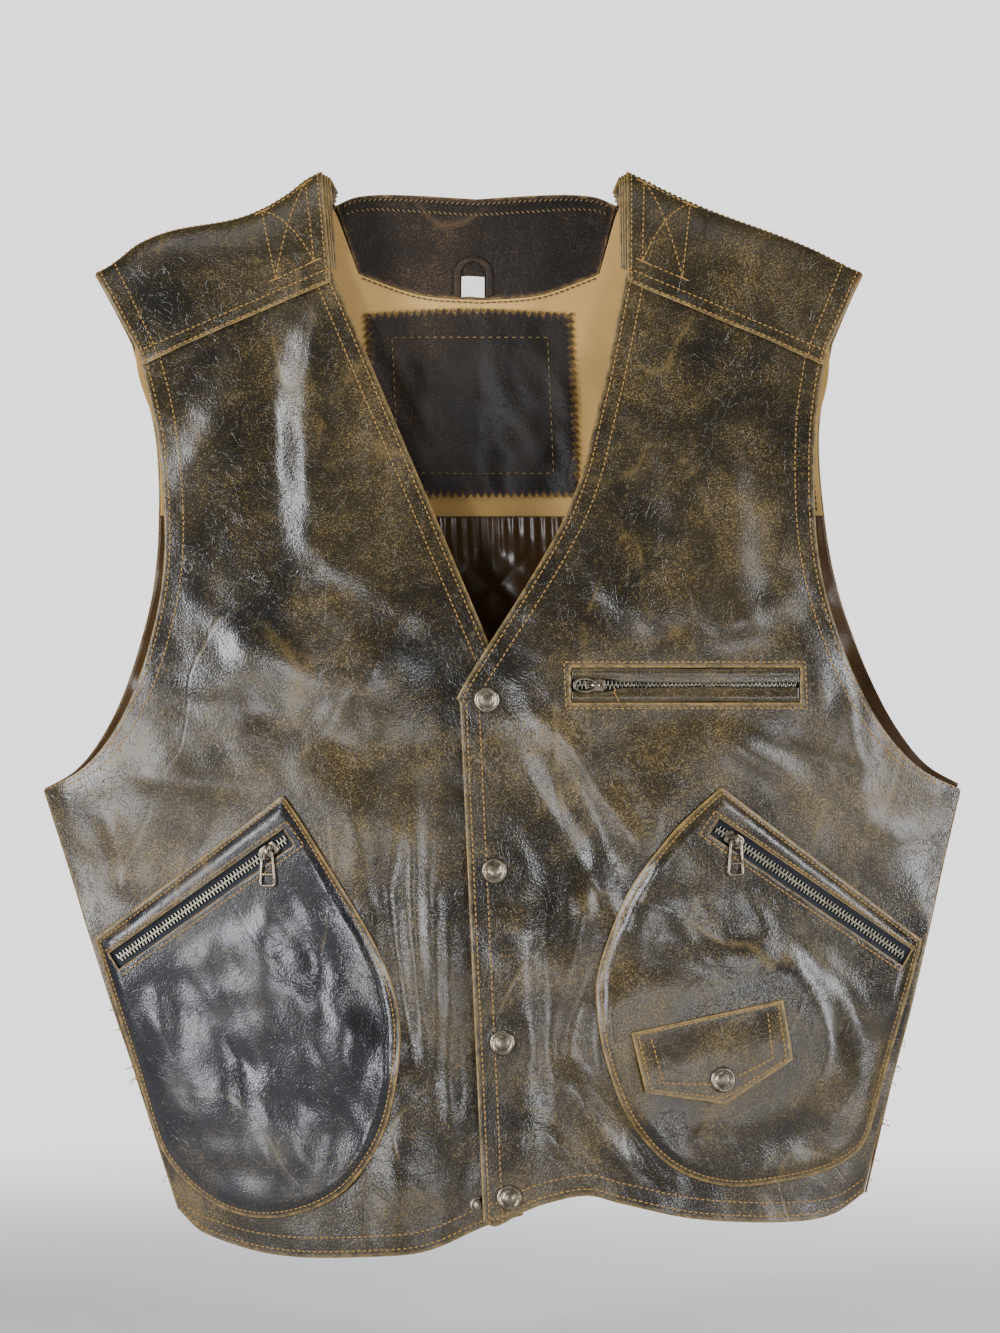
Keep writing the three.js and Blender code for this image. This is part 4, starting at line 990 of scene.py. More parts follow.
def stitch_row(points, normals, pitch=STITCH_PITCH, turn=0.0):
    """Copies the stitch along a line: centres at even steps, each turned to the line and the surface."""
    run = np.concatenate([[0], np.cumsum(np.linalg.norm(np.diff(points, axis=0), axis=1))])
    count = max(1, int(run[-1] / pitch))
    at = (np.arange(count) + 0.5) * run[-1] / count

    def pick(t, field):
        return np.stack([np.interp(t, run, field[:, k]) for k in range(3)], -1)

    centre = pick(at, points)
    along = pick(at + 0.8, points) - pick(at - 0.8, points)
    along /= np.linalg.norm(along, axis=1)[:, None]
    out = pick(at, normals)
    out -= np.sum(out * along, 1)[:, None] * along
    out /= np.linalg.norm(out, axis=1)[:, None]
    across = np.cross(out, along)
    wobble = rng.normal(0, 0.06, count) + turn
    ahead = along * np.cos(wobble)[:, None] + across * np.sin(wobble)[:, None]
    across = np.cross(out, ahead)
    shape = STITCH_POINTS
    placed = centre[:, None] + shape[:, 0, None] * ahead[:, None] + shape[:, 1, None] * across[:, None]
    placed = placed + (shape[:, 2, None] + 0.12) * out[:, None]
    faces = STITCH_FACES + (np.arange(count) * len(shape))[:, None, None]
    return placed.reshape(-1, 3), faces.reshape(-1, 4)


def normals_of(face, x, z, out):
    """Outward normals of a body surface, from its slopes over 2 mm."""
    dx = (face(x + 1, z) - face(x - 1, z)) / 2
    dz = (face(x, z + 1) - face(x, z - 1)) / 2
    n = np.stack([-out * dx, np.full_like(x, out), -out * (dz + LEAN * dx)], -1)
    return n / np.linalg.norm(n, axis=1)[:, None]


def row_on(face, flat_points, out=-1, rise=0.0, pitch=STITCH_PITCH):
    """A stitch row on a body surface through flat points (across, z)."""
    length = np.linalg.norm(np.diff(flat_points, axis=0), axis=1).sum()
    p = polyline(flat_points, np.linspace(0, 1, max(4, int(length / 1.6))))
    x, z = p[:, 0], p[:, 1]
    lift = rise(x, z) if callable(rise) else rise
    points = hang(x, face(x, z) + out * lift, z)
    return stitch_row(points, normals_of(face, x, z, out), pitch)


def sew(name, rows, body=None, side=None):
    """Joins stitch rows into one piece of thread."""
    starts = np.cumsum([0] + [len(p) for p, _ in rows[:-1]])
    points = np.concatenate([p for p, _ in rows])
    faces = np.concatenate([f + s for (_, f), s in zip(rows, starts)])
    piece = build(name, points, faces, "thread")
    if side:
        swing(piece)
    else:
        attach(piece, body)
    print(name + ":", len(faces) // len(STITCH_FACES), "stitches")
    return piece


def along_front(side, kind, inset, start=0.0, end=1.0):
    """Flat points at a distance inside an edge of a front: inner, outer or hem."""
    v = np.linspace(start, end, 240)
    if kind == "hem":
        u = mix(4 / FRONT_WIDE, 1 - 3 / FRONT_WIDE, v)
        return np.stack(fronts[side](u, np.full_like(u, 1 - inset / FRONT_TALL)), -1)
    wide = front_width(side, v)
    u = inset / wide if kind == "inner" else 1 - inset / wide
    return np.stack(fronts[side](u, v), -1)


EDGE_ROW, SECOND_ROW, HEM_ROW = 3.6, 11.0, 4.0
for side in ("left", "right"):
    rows = [row_on(faces_of[side], along_front(side, "inner", d)) for d in (EDGE_ROW, SECOND_ROW)]
    rows += [row_on(faces_of[side], along_front(side, "outer", d, 0.0, 0.5)) for d in (EDGE_ROW, 12.0)]
    rows += [row_on(faces_of[side], along_front(side, "hem", d)) for d in (HEM_ROW, HEM_ROW + 8.0)]
    if side == "left":
        frame_box = [(38.5, 13.2), (176.5, 13.2), (176.5, -13.2), (38.5, -13.2), (38.5, 13.2)]
        rows.append(row_on(left_face, [(x, CHEST_Z + h) for x, h in frame_box]))
    sew(side + "_front_stitches", rows, side=side)

# %% [markdown]
# ## Shoulder yokes
# A yoke is a band that runs over the shoulder and laps 8 mm over the front and the back. Its section is two
# quarter ellipses that meet on the ridge; past the seams it follows the leather underneath. Its neck end
# is a stack of folded edges, and a box with a cross is sewn through all of it there.

# %% The yoke's surface
LAP, LAP_SHARE, LAP_RISE = 8.0, 0.12, 1.9
RIDGE_NECK, RIDGE_TIP = (88, 0), (222.5, -59)
BACK_SEAM_NECK, BACK_SEAM_TIP = (82, -18), (204, -100)


def ridge_wave(sign, u):
    """The ridge sags and swells a little where the folded seams lie on it, more on the right shoulder."""
    high = 6.0 if sign < 0 else 1.6
    return high * np.sin(2 * np.pi * (u * 1.05 + 0.45)) * ease(u / 0.15) * ease((1 - u) / 0.2)


def yoke_points(sign, u, v, off):
    """World points of a yoke; v runs from the front lap over the ridge to the back lap, off is outward."""
    u, v = np.broadcast_arrays(u, v)
    front_x, front_z = mix(SEAM_NECK[0], SEAM_TIP[0], u), mix(SEAM_NECK[1], SEAM_TIP[1], u)
    back_x, back_z = mix(BACK_SEAM_NECK[0], BACK_SEAM_TIP[0], u), mix(BACK_SEAM_NECK[1], BACK_SEAM_TIP[1], u)
    ridge_x, ridge_z = mix(RIDGE_NECK[0], RIDGE_TIP[0], u), mix(RIDGE_NECK[1], RIDGE_TIP[1], u)
    is_front = v < 0.5
    seam_x, seam_z = np.where(is_front, front_x, back_x), np.where(is_front, front_z, back_z)
    half = np.where(is_front, -left_face(sign * front_x, front_z), back_outer(sign * back_x, back_z))
    turn = np.clip((v - LAP_SHARE) / (1 - 2 * LAP_SHARE), 0, 1) * np.pi - np.pi / 2
    c = np.cos(turn)
    lift = off + LAP_RISE * (1 - c) + 0.1
    z = mix(seam_z, ridge_z + ridge_wave(sign, u) + lift, c)
    y = (half + lift) * np.sin(turn)
    x = mix(seam_x, ridge_x, c)
    drop = LAP * np.maximum(LAP_SHARE - v, v - 1 + LAP_SHARE) / LAP_SHARE
    drop = np.maximum(0, drop)
    curl = 0.8 * ease(drop / LAP) * (1 + np.sin(19 * u + 2 * sign))
    lap_z = seam_z - drop * 1.05
    x = x - 0.32 * drop * ease((u - 0.7) / 0.3)
    front_y = left_face(sign * x, lap_z) - lift - curl
    lap_y = np.where(is_front, front_y, back_outer(sign * x, lap_z) + lift + curl)
    return hang(sign * x, np.where(drop > 0, lap_y, y), np.where(drop > 0, lap_z, z))


def yoke_sheet(name, sign, u_range, outer_off, thick, material, count, v_range=(0.0, 1.0)):
    """A closed sheet over a stretch of the yoke, its outer face at one height off the yoke's own face."""
    u = columns(count[0], np.array(130.0 * (u_range[1] - u_range[0])))
    v = columns(count[1], np.array(150.0 * (v_range[1] - v_range[0])))
    u, v = np.meshgrid(mix(*u_range, u), mix(*v_range, v))
    grid = yoke_points(sign, u, v, outer_off)
    dip = rounded(edge_distance(grid))
    outer = yoke_points(sign, u, v, outer_off - dip)
    piece = sheet_mesh(name, outer, yoke_points(sign, u, v, outer_off - thick), material)
    piece["cut_to"] = cut_size(grid)
    return piece


def yoke_row(sign, uv, pitch=STITCH_PITCH):
    """A stitch row over a yoke through (u, v) points, on its outer face."""
    p = polyline(uv, np.linspace(0, 1, 120))
    u, v = p[:, 0], p[:, 1]
    at = yoke_points(sign, u, v, 0)
    du = yoke_points(sign, u + 0.004, v, 0) - yoke_points(sign, u - 0.004, v, 0)
    dv = yoke_points(sign, u, np.minimum(v + 0.004, 1), 0) - yoke_points(sign, u, np.maximum(v - 0.004, 0), 0)
    n = np.cross(du, dv) * -sign
    n /= np.linalg.norm(n, axis=1)[:, None]
    inside_yoke = np.array([at[:, 0].mean(), 0, -90])
    away_from_body = np.sign(np.sum(n * (at - inside_yoke), 1).mean() or 1)
    return stitch_row(at, n * away_from_body, pitch)


# %% Yokes, their linings, stacked neck edges and stitches
BOX_NEAR, BOX_FAR, BOX_LOW, BOX_HIGH = 0.075, 0.27, 0.15, 0.43
shell_rows = []
for name, sign in (("left", 1), ("right", -1)):
    yoke = yoke_sheet(name + "_yoke", sign, (0, 1), 0, LEATHER, "shell_leather", (84, 96))
    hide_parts(name + "_shoulder_yoke")
    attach(yoke, "shell")
    lining = yoke_sheet(
        name + "_yoke_back", sign, (0.01, 0.985), -2.6, COTTON, "beige_cotton", (40, 60), (0.13, 0.87),
    )
    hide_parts(name + "_yoke_lining")
    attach(lining, "shell")
    for k in range(3):
        start = -0.012 - 0.011 * k
        edge_strip = yoke_sheet(
            f"{name}_neck_edge_{k + 1}", sign, (start, 0.06), -1.9 - 1.5 * k, 1.3, "shell_leather",
            (8, 80), (0.10, 0.86 - 0.03 * k),
        )
        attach(edge_strip, "shell")
    corners = [(BOX_NEAR, BOX_LOW), (BOX_FAR, BOX_LOW), (BOX_FAR, BOX_HIGH), (BOX_NEAR, BOX_HIGH)]
    lines_uv = [
        [(0.0, 0.025), (1.0, 0.025)], [(0.0, 0.115), (1.0, 0.115)],
        [(0.0, 0.975), (1.0, 0.975)], [(0.0, 0.885), (1.0, 0.885)],
        [(0.022, 0.02), (0.022, 0.98)], [(0.978, 0.02), (0.978, 0.98)], [(0.915, 0.02), (0.915, 0.98)],
        [(0.0, 0.47), (1.0, 0.47)],
        corners + [corners[0]], [corners[0], corners[2]], [corners[1], corners[3]],
    ]
    shell_rows += [yoke_row(sign, uv) for uv in lines_uv]
    tack = 0.028
    for u, v in corners:
        shell_rows.append(yoke_row(sign, [(u - tack, v), (u + tack, v)], 0.9))

# %% [markdown]
# ## The back
# The back is cut in two halves. The left one laps over the right one down the middle and two rows
# of stitches hold them. Nothing of its outside is special: it is the same hide, with fewer folds.

# %% Back outlines and the two halves
NECK_CENTRE = -14
back_out = {1: 12.0, -1: 9.0}
CENTRE_LAP = 6.0
back_top_line = line([(0, NECK_CENTRE), (48, -11.5), (70, -13), BACK_SEAM_NECK])
back_hem = line([(-HEM_HALF, -600), (-120, -608), (-30, -598), (40, -594), (120, -596), (HEM_HALF, -592)])


def back_top(x):
    """Top edge of the back: the neckline, then the shoulder seam."""
    a = np.abs(x)
    share = (a - BACK_SEAM_NECK[0]) / (BACK_SEAM_TIP[0] - BACK_SEAM_NECK[0])
    seam = mix(BACK_SEAM_NECK[1], BACK_SEAM_TIP[1], np.maximum(0, share))
    return np.where(a < BACK_SEAM_NECK[0], back_top_line(np.minimum(a, BACK_SEAM_NECK[0])), seam)


def back_armhole(sign):
    """The back armhole, cut a little wider than the front one in its middle."""
    last = len(armhole_points) - 1
    return path([BACK_SEAM_TIP] + [
        (x + back_out[sign] * math.sin(math.pi * i / last), z)
        for i, (x, z) in enumerate(armhole_points) if i
    ])


def back_grid(sign):
    """Grid of one half: from the middle of the back, or a little past it, to the armhole and side seam."""
    start = -CENTRE_LAP if sign > 0 else 0.15
    upper_middle = straight((start, NECK_CENTRE), (start, UNDERARM))
    inner = joined(upper_middle, straight((start, UNDERARM), (start, HEM)))
    outer = joined(back_armhole(sign), side_seam)
    place = between_edges(inner, outer, back_top, lambda x: back_hem(sign * x))
    return lambda u, v: (sign * place(u, v)[0], place(u, v)[1])


def lap_rise(x, z, u, v):
    """The left half climbs over the right one at the middle."""
    return 1.8 * ease((9 - x) / 7)


for name, sign in (("left", 1), ("right", -1)):
    back = panel(
        name + "_back_leather", back_grid(sign), back_outer, 1, lap_rise if sign > 0 else 0.0, LEATHER,
        "shell_leather", (96, 170), 225, 590,
    )
    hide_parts(name + "_back_panel")
    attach(back, "shell")
    v = np.linspace(0, 1, 260)
    place = back_grid(sign)
    for inset in (EDGE_ROW, 11.0):
        shell_rows.append(row_on(back_outer, np.stack(place(1 - inset / 225, v[:130]), -1), 1))
        shell_rows.append(row_on(back_outer, np.stack(place(v, 1 - (inset + 1) / 590), -1), 1))
        if sign > 0:
            seam = np.stack(place(np.full_like(v, (inset - 2) / 225), v), -1)
            shell_rows.append(row_on(back_outer, seam, 1, lambda x, z: lap_rise(x, z, 0, 0)))

# %% [markdown]
# Front and back meet at the side seams, but the front lies flat under its slanted zip and so leaves the
# back's edge there. A narrow leather gusset fills the gap, wide beside the zip and narrow elsewhere.

# %% Side gussets
SEAM_END, GUSSET_OUTER, GUSSET_INNER = 8.0, 0.4, 1.3


def gusset_sheet(name, sign):
    """A narrow strip along a side seam, standing on the back's edge and reaching to just behind the front."""
    z = np.linspace(UNDERARM - 4, HEM + SEAM_END, 90)
    z, share = np.meshgrid(z, np.linspace(0, 1, 12), indexing="ij")

    def face(inset):
        x = side_at(z) - inset
        slope = left_face(sign * x, z) - left_face(sign * (x - 1), z)
        front = left_face(sign * x, z) + LEATHER * np.hypot(1, slope) + GAP
        return hang(sign * x, mix(back_outer(sign * x, z) - LEATHER / 2, front, share), z)

    piece = sheet_mesh(name, face(GUSSET_OUTER), face(GUSSET_INNER), "inner_leather")
    piece["cut_to"] = cut_size(face(GUSSET_OUTER))
    return piece


for name, sign in (("left", 1), ("right", -1)):
    gusset = gusset_sheet(name + "_side_gusset", sign)
    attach(gusset, "shell")

# %% [markdown]
# ## Inside the back
# What shows through the neck is the inside of the back: a leather facing along the neckline, plain beige
# cotton below it with a pinked leather patch sewn on, and a brown satin lining, quilted in diamonds.
# Each is a thin sheet hung behind the back's leather, one a little further forward than the next.

# %% Facing, cotton and satin
BACK_BEHIND = LEATHER + SOFT_GAP
COTTON_FOOT = -199
facing_low = line([(0, -73), (35, -70), (70, -58)])


def facing_place(u, v):
    """The facing: from the neckline down to its own lower edge, narrowing a little."""
    s = 2 * u - 1
    half = mix(BACK_SEAM_NECK[0] - GAP, 70, v)
    top = back_top(s * (BACK_SEAM_NECK[0] - GAP)) - GAP
    return s * half, mix(top, facing_low(np.abs(s) * 70), v)


def cotton_top(x):
    """Upper edge of the cotton: along the facing, then up beside it, then along the shoulder seam."""
    a = np.abs(x)
    rise = mix(-58, BACK_SEAM_NECK[1], (a - 70) / 13) - 3 * GAP
    return np.where(a <= 70, facing_low(np.minimum(a, 70)) - GAP, np.where(a < 83, rise, back_top(a) - GAP))


def back_half_width(z, sign):
    """Half width of the back at a height, from its armhole curve or its side seam, less a narrow margin."""
    curve = back_armhole(sign)(np.linspace(0, 1, 200))
    at = np.interp(-z, -curve[:, 1], curve[:, 0])
    return np.where(z > UNDERARM, at, side_at(z)) - 1.2


def cotton_place(u, v):
    """The cotton panel: from its upper edge to an even lower edge, between the two armholes."""
    s = 2 * u - 1
    z = mix(cotton_top(s * 202), COTTON_FOOT, v)
    edge_z = mix(BACK_SEAM_TIP[1], COTTON_FOOT, v)
    half = np.where(s > 0, back_half_width(edge_z, 1), back_half_width(edge_z, -1))
    return s * mix(202, half, ease(v * 2)), z


def quilt_place(u, v):
    """The quilted panel: from the cotton down to just above the hem."""
    s = 2 * u - 1
    top, foot = COTTON_FOOT - GAP, back_hem(s * HEM_HALF) + 8
    z = mix(top, foot, v)
    edge_z = mix(top, HEM + 8, v)
    half = np.where(s > 0, back_half_width(edge_z, 1), back_half_width(edge_z, -1))
    return s * half, z


DIAMOND, GATHER = 27.0, 6.5


def quilt_thick(x, z, u, v):
    """Quilting puffs up between two sets of slanted lines, and is gathered into narrow folds at its top."""
    a = np.abs(np.sin(np.pi * (x + z) / DIAMOND))
    b = np.abs(np.sin(np.pi * (x - z) / DIAMOND))
    puff = (a * b) ** 0.4
    fold = 0.5 + 0.5 * np.sin(2 * np.pi * x / GATHER + 1.5 * np.sin(x / 19))
    near_top = ease((z - COTTON_FOOT + 34) / 30)
    border = np.minimum(1, 30 * u * (1 - u))
    return COTTON + 1.7 * mix(puff, fold, near_top) * border + 0.2


def cotton_waves(x, z, u, v):
    """Cotton lies nearly flat, with slight pulls below the facing."""
    pull = 0.35 * np.sin(x / 7 + 2 * np.sin(z / 31)) * ease((z + 190) / 90) * ease(v / 0.1)
    return -BACK_BEHIND - 0.4 * (1 + pull)


inside = [  # name, node, place, rise, thickness, material, grid, width and height
    ("neck_facing_leather", "neck_facing", facing_place, -BACK_BEHIND, FACING, "inner_leather",
     (90, 40), (160, 60)),
    ("cotton_back", "upper_lining", cotton_place, cotton_waves, COTTON, "beige_cotton",
     (150, 60), (400, 150)),
    ("quilted_satin", "quilted_lining", quilt_place, -BACK_BEHIND, quilt_thick, "brown_satin",
     (230, 190), (500, 400)),
]
for name, node, place, rise, thick, material, count, (wide, tall) in inside:
    piece = panel(name, place, back_outer, 1, rise, thick, material, count, wide, tall, 0.4)
    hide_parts(node)
    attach(piece, "shell")

# %% The pinked patch
PATCH_X, PATCH_WIDE, PATCH_TOP, PATCH_FOOT = -7, 119, -82, -187
PATCH_TALL = PATCH_TOP - PATCH_FOOT
PINK_STEP, PINK_DEEP = 4.3, 1.7


def zigzag(s):
    """Triangle wave between -1 and 1."""
    return 2 * np.abs(2 * (s / PINK_STEP % 1) - 1) - 1


def patch_place(u, v):
    """A rectangle whose borders run in teeth, the teeth fading out within 3 mm."""
    x = PATCH_X + (u - 0.5) * PATCH_WIDE
    z = mix(PATCH_TOP, PATCH_FOOT, v) + 3 * np.sin(np.pi * u) * (1 - v)
    side_fade = ease(1 - np.minimum(u, 1 - u) * PATCH_WIDE / 3)
    end_fade = ease(1 - np.minimum(v, 1 - v) * PATCH_TALL / 3)
    return (x + PINK_DEEP * zigzag(z) * side_fade * np.sign(u - 0.5),
            z + PINK_DEEP * zigzag(x) * end_fade * np.sign(0.5 - v))


patch_behind = BACK_BEHIND + COTTON + 1.3
patch = panel(
    "pinked_patch", patch_place, back_outer, 1, -patch_behind, FACING, "inner_leather",
    (120, 112), PATCH_WIDE, PATCH_TALL, 0.3,
)
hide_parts("lining_patch")
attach(patch, "shell")
inset_box = [(-52.5, -95), (38.5, -95), (38.5, -174), (-52.5, -174), (-52.5, -95)]
inside_rows = [row_on(back_outer, inset_box, 1, -patch_behind - FACING - 0.5, 4.6)]

# %% Stitches seen on the inside
facing_depth = -BACK_BEHIND - FACING - 0.45
for inset, turn in ((3.0, 0.7), (9.5, -0.7)):
    u = np.linspace(0.02, 0.98, 160)
    x, z = facing_place(u, np.full_like(u, inset / 60))
    points = hang(x, back_outer(x, z) + facing_depth, z)
    inside_rows.append(stitch_row(points, normals_of(back_outer, x, z, 1) * -1, 3.0, turn))
dark_rows = []
lining_depth = -BACK_BEHIND - COTTON - 1.0
u = np.linspace(0.01, 0.99, 160)
x, z = facing_place(u, np.full_like(u, 1.0))
low_edge = hang(x, back_outer(x, z - 2) + lining_depth, z - 2)
dark_rows.append(stitch_row(low_edge, normals_of(back_outer, x, z, 1) * -1))
for sign in (1, -1):
    for inset in (3.0, 10.0):
        z = np.linspace(-112, COTTON_FOOT + 2, 90)
        x = sign * (back_half_width(z, sign) - inset)
        points = hang(x, back_outer(x, z) + lining_depth, z)
        dark_rows.append(stitch_row(points, normals_of(back_outer, x, z, 1) * -1))
print("rows on the inside:", len(inside_rows) + len(dark_rows))

# %% [markdown]
# ## Lower pockets
# A lower pocket is a drop of leather sewn flat on the front along its rim and lifted 4 mm inside it, to leave
# room for the zip. It is drawn as rings from its middle to its outline, close together near the rim,
# where the cut edge is worn pale. A slot for the zip is then cut through it.

# %% Pocket outlines
POCKET_PUFF, POCKET_RAMP, SEAM_INSET, WINDOW_WIDE = 4.1, 8.0, 3.0, 11.0
pocket_curves = {
    "left": [
        (204, -555), (196, -567), (177, -577), (152, -582), (121, -584), (95, -576.5), (77, -563),
        (63, -543), (54, -519), (49, -494), (48.5, -467), (56, -443), (71, -412), (94, -383),
        (110, -368), (125, -355.5),
    ],
    "right": [
        (212, -549), (205, -569), (190, -587), (169, -600), (144, -603), (117, -596), (96, -582),
        (78, -556.5), (68.5, -528), (64, -495), (67.4, -468), (78, -441), (95, -410), (114, -377),
        (125, -360),
    ],
}
pocket_corner_z = {"left": -445, "right": -444}
pocket_middle = {"left": (140, -475), "right": (-150, -485)}
RIM_POINTS = 300


def pocket_outline(name):
    """The rim as evenly spaced points: the drop's curve, the straight zip edge and the side."""
    sign = 1 if name == "left" else -1
    curve = path(pocket_curves[name])(np.linspace(0, 1, 200))
    corner_z = pocket_corner_z[name]
    corner = np.array([side_at(corner_z) - SEAM_INSET, corner_z])
    rim = np.concatenate([curve, [corner], curve[:1]])
    return polyline(rim, np.linspace(0, 1, RIM_POINTS, endpoint=False)) * np.array([sign, 1])


def rim_distance(outline, x, z):
    """Distance from points to an outline: the least of the distances to its sides."""
    best = np.full(np.shape(x), np.inf)
    for a, b in zip(outline, np.roll(outline, -1, axis=0)):
        if np.hypot(*(b - a)) > 1e-6:
            best = np.minimum(best, away(x, z, a, b))
    return best


INSIDE_EDGE = 20.0


def disc(name, outline, middle, lift, thick, face, material, rings=46, dome=0.7):
    """A closed patch: rings from its middle to an outline, lifted off a face by lift(x, z, rim distance)."""
    reach = np.linalg.norm(outline - middle, axis=1)
    even = np.linspace(0, 1, rings + 1)[1:]
    steps = EDGE_STEPS[::-1] / reach[:, None]
    share = np.concatenate([even[None, :] * (1 - steps[:, :1]), 1 - steps[:, 1:]], 1).T[..., None]
    flat = middle + share * (outline - middle)
    x, z = flat[..., 0], flat[..., 1]
    far = rim_distance(outline, x, z)
    rise = lift(x, z, far)
    outer = hang(x, face(x, z) - rise + rounded(far, dome), z)
    inner = hang(x, face(x, z) - rise + thick, z)
    middle_x, middle_z = (np.array([m], float) for m in middle)
    middle_lift = lift(middle_x, middle_z, far[:1, :1].ravel())
    top = hang(middle_x, face(middle_x, middle_z) - middle_lift, middle_z)
    layers, around = outer.shape[:2]
    ring = np.arange(around)
    after = np.roll(ring, -1)
    last = (layers - 1) * around
    base = 1 + layers * around
    faces = [
        quads(layers, around, 1, True),
        quads(layers, around, base + 1, True)[:, ::-1],
        np.stack([1 + last + ring, 1 + last + after, base + 1 + last + after, base + 1 + last + ring], -1),
        np.stack([np.zeros_like(ring), 1 + ring, 1 + after], -1),
        np.stack([np.full_like(ring, base), base + 1 + after, base + 1 + ring], -1),
    ]
    points = np.concatenate([top, outer.reshape(-1, 3), top + np.array([0, thick, 0]), inner.reshape(-1, 3)])
    edge = np.concatenate([[INSIDE_EDGE], far.ravel(), [INSIDE_EDGE], far.ravel()])
    piece = face_out(build(name, points, faces, material, edge))
    span = outline.max(0) - outline.min(0)
    a, b = outline, np.roll(outline, -1, axis=0)
    area = abs(np.sum(a[:, 0] * b[:, 1] - a[:, 1] * b[:, 0])) / 2
    piece["cut_to"] = [float(span[0] * MM), float(span[1] * MM), float(area * MM * MM)]
    return piece


print("a pocket's outline has", RIM_POINTS, "points")

# %% The two pockets
POCKET_PITCH, ZIP_ROW = 2.9, WINDOW_WIDE / 2 + 2.6


def pocket_lift(x, z, far):
    """Height of a pocket's outer face: sewn down at the rim, lifted within 8 mm, with slight waves inside."""
    puff = SOFT_GAP + (POCKET_PUFF + GAP - SOFT_GAP) * ease(far / POCKET_RAMP)
    sag = 0.55 * waves(1.4 * x + 50, 1.2 * z) * ease((far - 9) / 20) * held_flat(x, z)
    return LEATHER + puff + sag


def height_over(lift, outline):
    """The lift of a patch as a height over places alone, for the rows of stitches on it."""
    return lambda x, z: lift(x, z, rim_distance(outline, x, z))


def inset_outline(outline, middle, inset):
    """An outline moved inward along the lines to its middle."""
    reach = np.linalg.norm(outline - middle, axis=1)[:, None]
    return np.concatenate([middle + (1 - inset / reach) * (outline - middle)] * 2)[: len(outline) + 1]


for name, material in (("left", "shell_leather"), ("right", "pocket_leather")):
    outline, middle, face = pocket_outline(name), np.array(pocket_middle[name], float), faces_of[name]
    pocket = disc(name + "_pocket_leather", outline, middle, pocket_lift, LEATHER, face, material)
    z = zips[name + "_pocket"]
    cut_window(pocket, z["at"] - z["x"], z["x"], z["y"], z["z"], (z["long"] + 2, WINDOW_WIDE, 30), 1.4)
    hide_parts(name + "_pocket")
    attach(pocket, name + "_front")
    rise = height_over(pocket_lift, outline)
    rows = [row_on(face, inset_outline(outline, middle, 3.4), -1, rise, POCKET_PITCH)]
    a, b = (np.array(p, float) for p in (LEFT_ZIP if name == "left" else RIGHT_ZIP))
    ahead = (b - a) / np.linalg.norm(b - a)
    beside = np.array([-ahead[1], ahead[0]])
    for offset in (ZIP_ROW, -ZIP_ROW):
        ends = [a - 4 * ahead + offset * beside, b + 3 * ahead + offset * beside]
        rows.append(row_on(face, ends, -1, rise, POCKET_PITCH))
    ends = [a - 4 * ahead + offset * beside for offset in (ZIP_ROW, -ZIP_ROW)]
    rows.append(row_on(face, ends, -1, rise, POCKET_PITCH))
    sew(name + "_pocket_stitches", rows, body=name + "_front")

# %% [markdown]
# ## The pocket flap
# The left pocket carries a small pointed flap, sewn along its top and held by a snap. It springs a little off
# the pocket, further towards its point, because the snap stands under it.

# %% The flap
FLAP_STAND, FLAP_RISE, FLAP_SNAP = 0.4, 3.4, (116.8, -521.5)
flap_corners = np.array([(67, -494.6), (155, -477), (159, -511), (119, -536), (73.6, -528.5)])
flap_middle = np.array([113.0, -508.0])
flap_ring = np.concatenate([
    mix(a, b, np.linspace(0, 1, 36, endpoint=False)[:, None])
    for a, b in zip(flap_corners, np.roll(flap_corners, -1, axis=0))
])


def flap_lift(x, z, far):
    """Height of the flap: it rises away from its sewn edge, and ripples a little except round its snap."""
    spread = FLAP_STAND + FLAP_RISE * ease(away(x, z, flap_corners[0], flap_corners[1]) / 26)
    from_snap = np.hypot(x - FLAP_SNAP[0], z - FLAP_SNAP[1])
    ripple = 0.25 * np.sin(x / 9 + z / 14) * ease((far - 3) / 10) * ease((from_snap - 9) / 8)
    return GAP + POCKET_PUFF + 2 * LEATHER + spread + ripple


flap = disc("flap_leather", flap_ring, flap_middle, flap_lift, LEATHER, left_face, "shell_leather", 30)
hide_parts("pocket_flap")
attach(flap, "pocket_flap")
flap_rise = height_over(flap_lift, flap_ring)


def flap_inset(inset):
    """The flap's corners moved inward."""
    reach = np.linalg.norm(flap_corners - flap_middle, axis=1)[:, None]
    return flap_middle + (1 - 1.3 * inset / reach) * (flap_corners - flap_middle)


near, deep = flap_inset(3.0), flap_inset(9.0)
flap_rows = [
    row_on(left_face, np.concatenate([near, near[:1]]), -1, flap_rise, 3.0),
    row_on(left_face, np.concatenate([deep[1:], deep[:1]]), -1, flap_rise, 3.0),
]
sew("flap_stitches", flap_rows, body="pocket_flap")

# %% [markdown]
# ## Swept and turned shapes
# Wires, lips and straps are a section carried along a path; caps, studs and posts are turned on a lathe.
# Both are grids: once along the path or profile, once around.

# %% Sweeps and lathes
def closed_grid(name, grid, material, loop=False, edge=None):
    """A tube of rings: grid[i] is ring i. Its ends are closed with fans, or joined if it is a loop."""
    rings, around = grid.shape[:2]
    points = grid.reshape(-1, 3)
    faces = [quads(rings, around, 0, True)]
    ring = np.arange(around)
    after = np.roll(ring, -1)
    if loop:
        last = (rings - 1) * around
        faces.append(np.stack([last + ring, last + after, after, ring], -1))
    else:
        points = np.concatenate([points, grid[:1].mean(1), grid[-1:].mean(1)])
        last = (rings - 1) * around
        faces.append(np.stack([np.full_like(ring, len(points) - 2), after, ring], -1))
        faces.append(np.stack([np.full_like(ring, len(points) - 1), last + ring, last + after], -1))
    if edge is None and "leather" in material:
        edge = np.full(len(points), 2.5)
    return face_out(build(name, points, faces, material, edge))


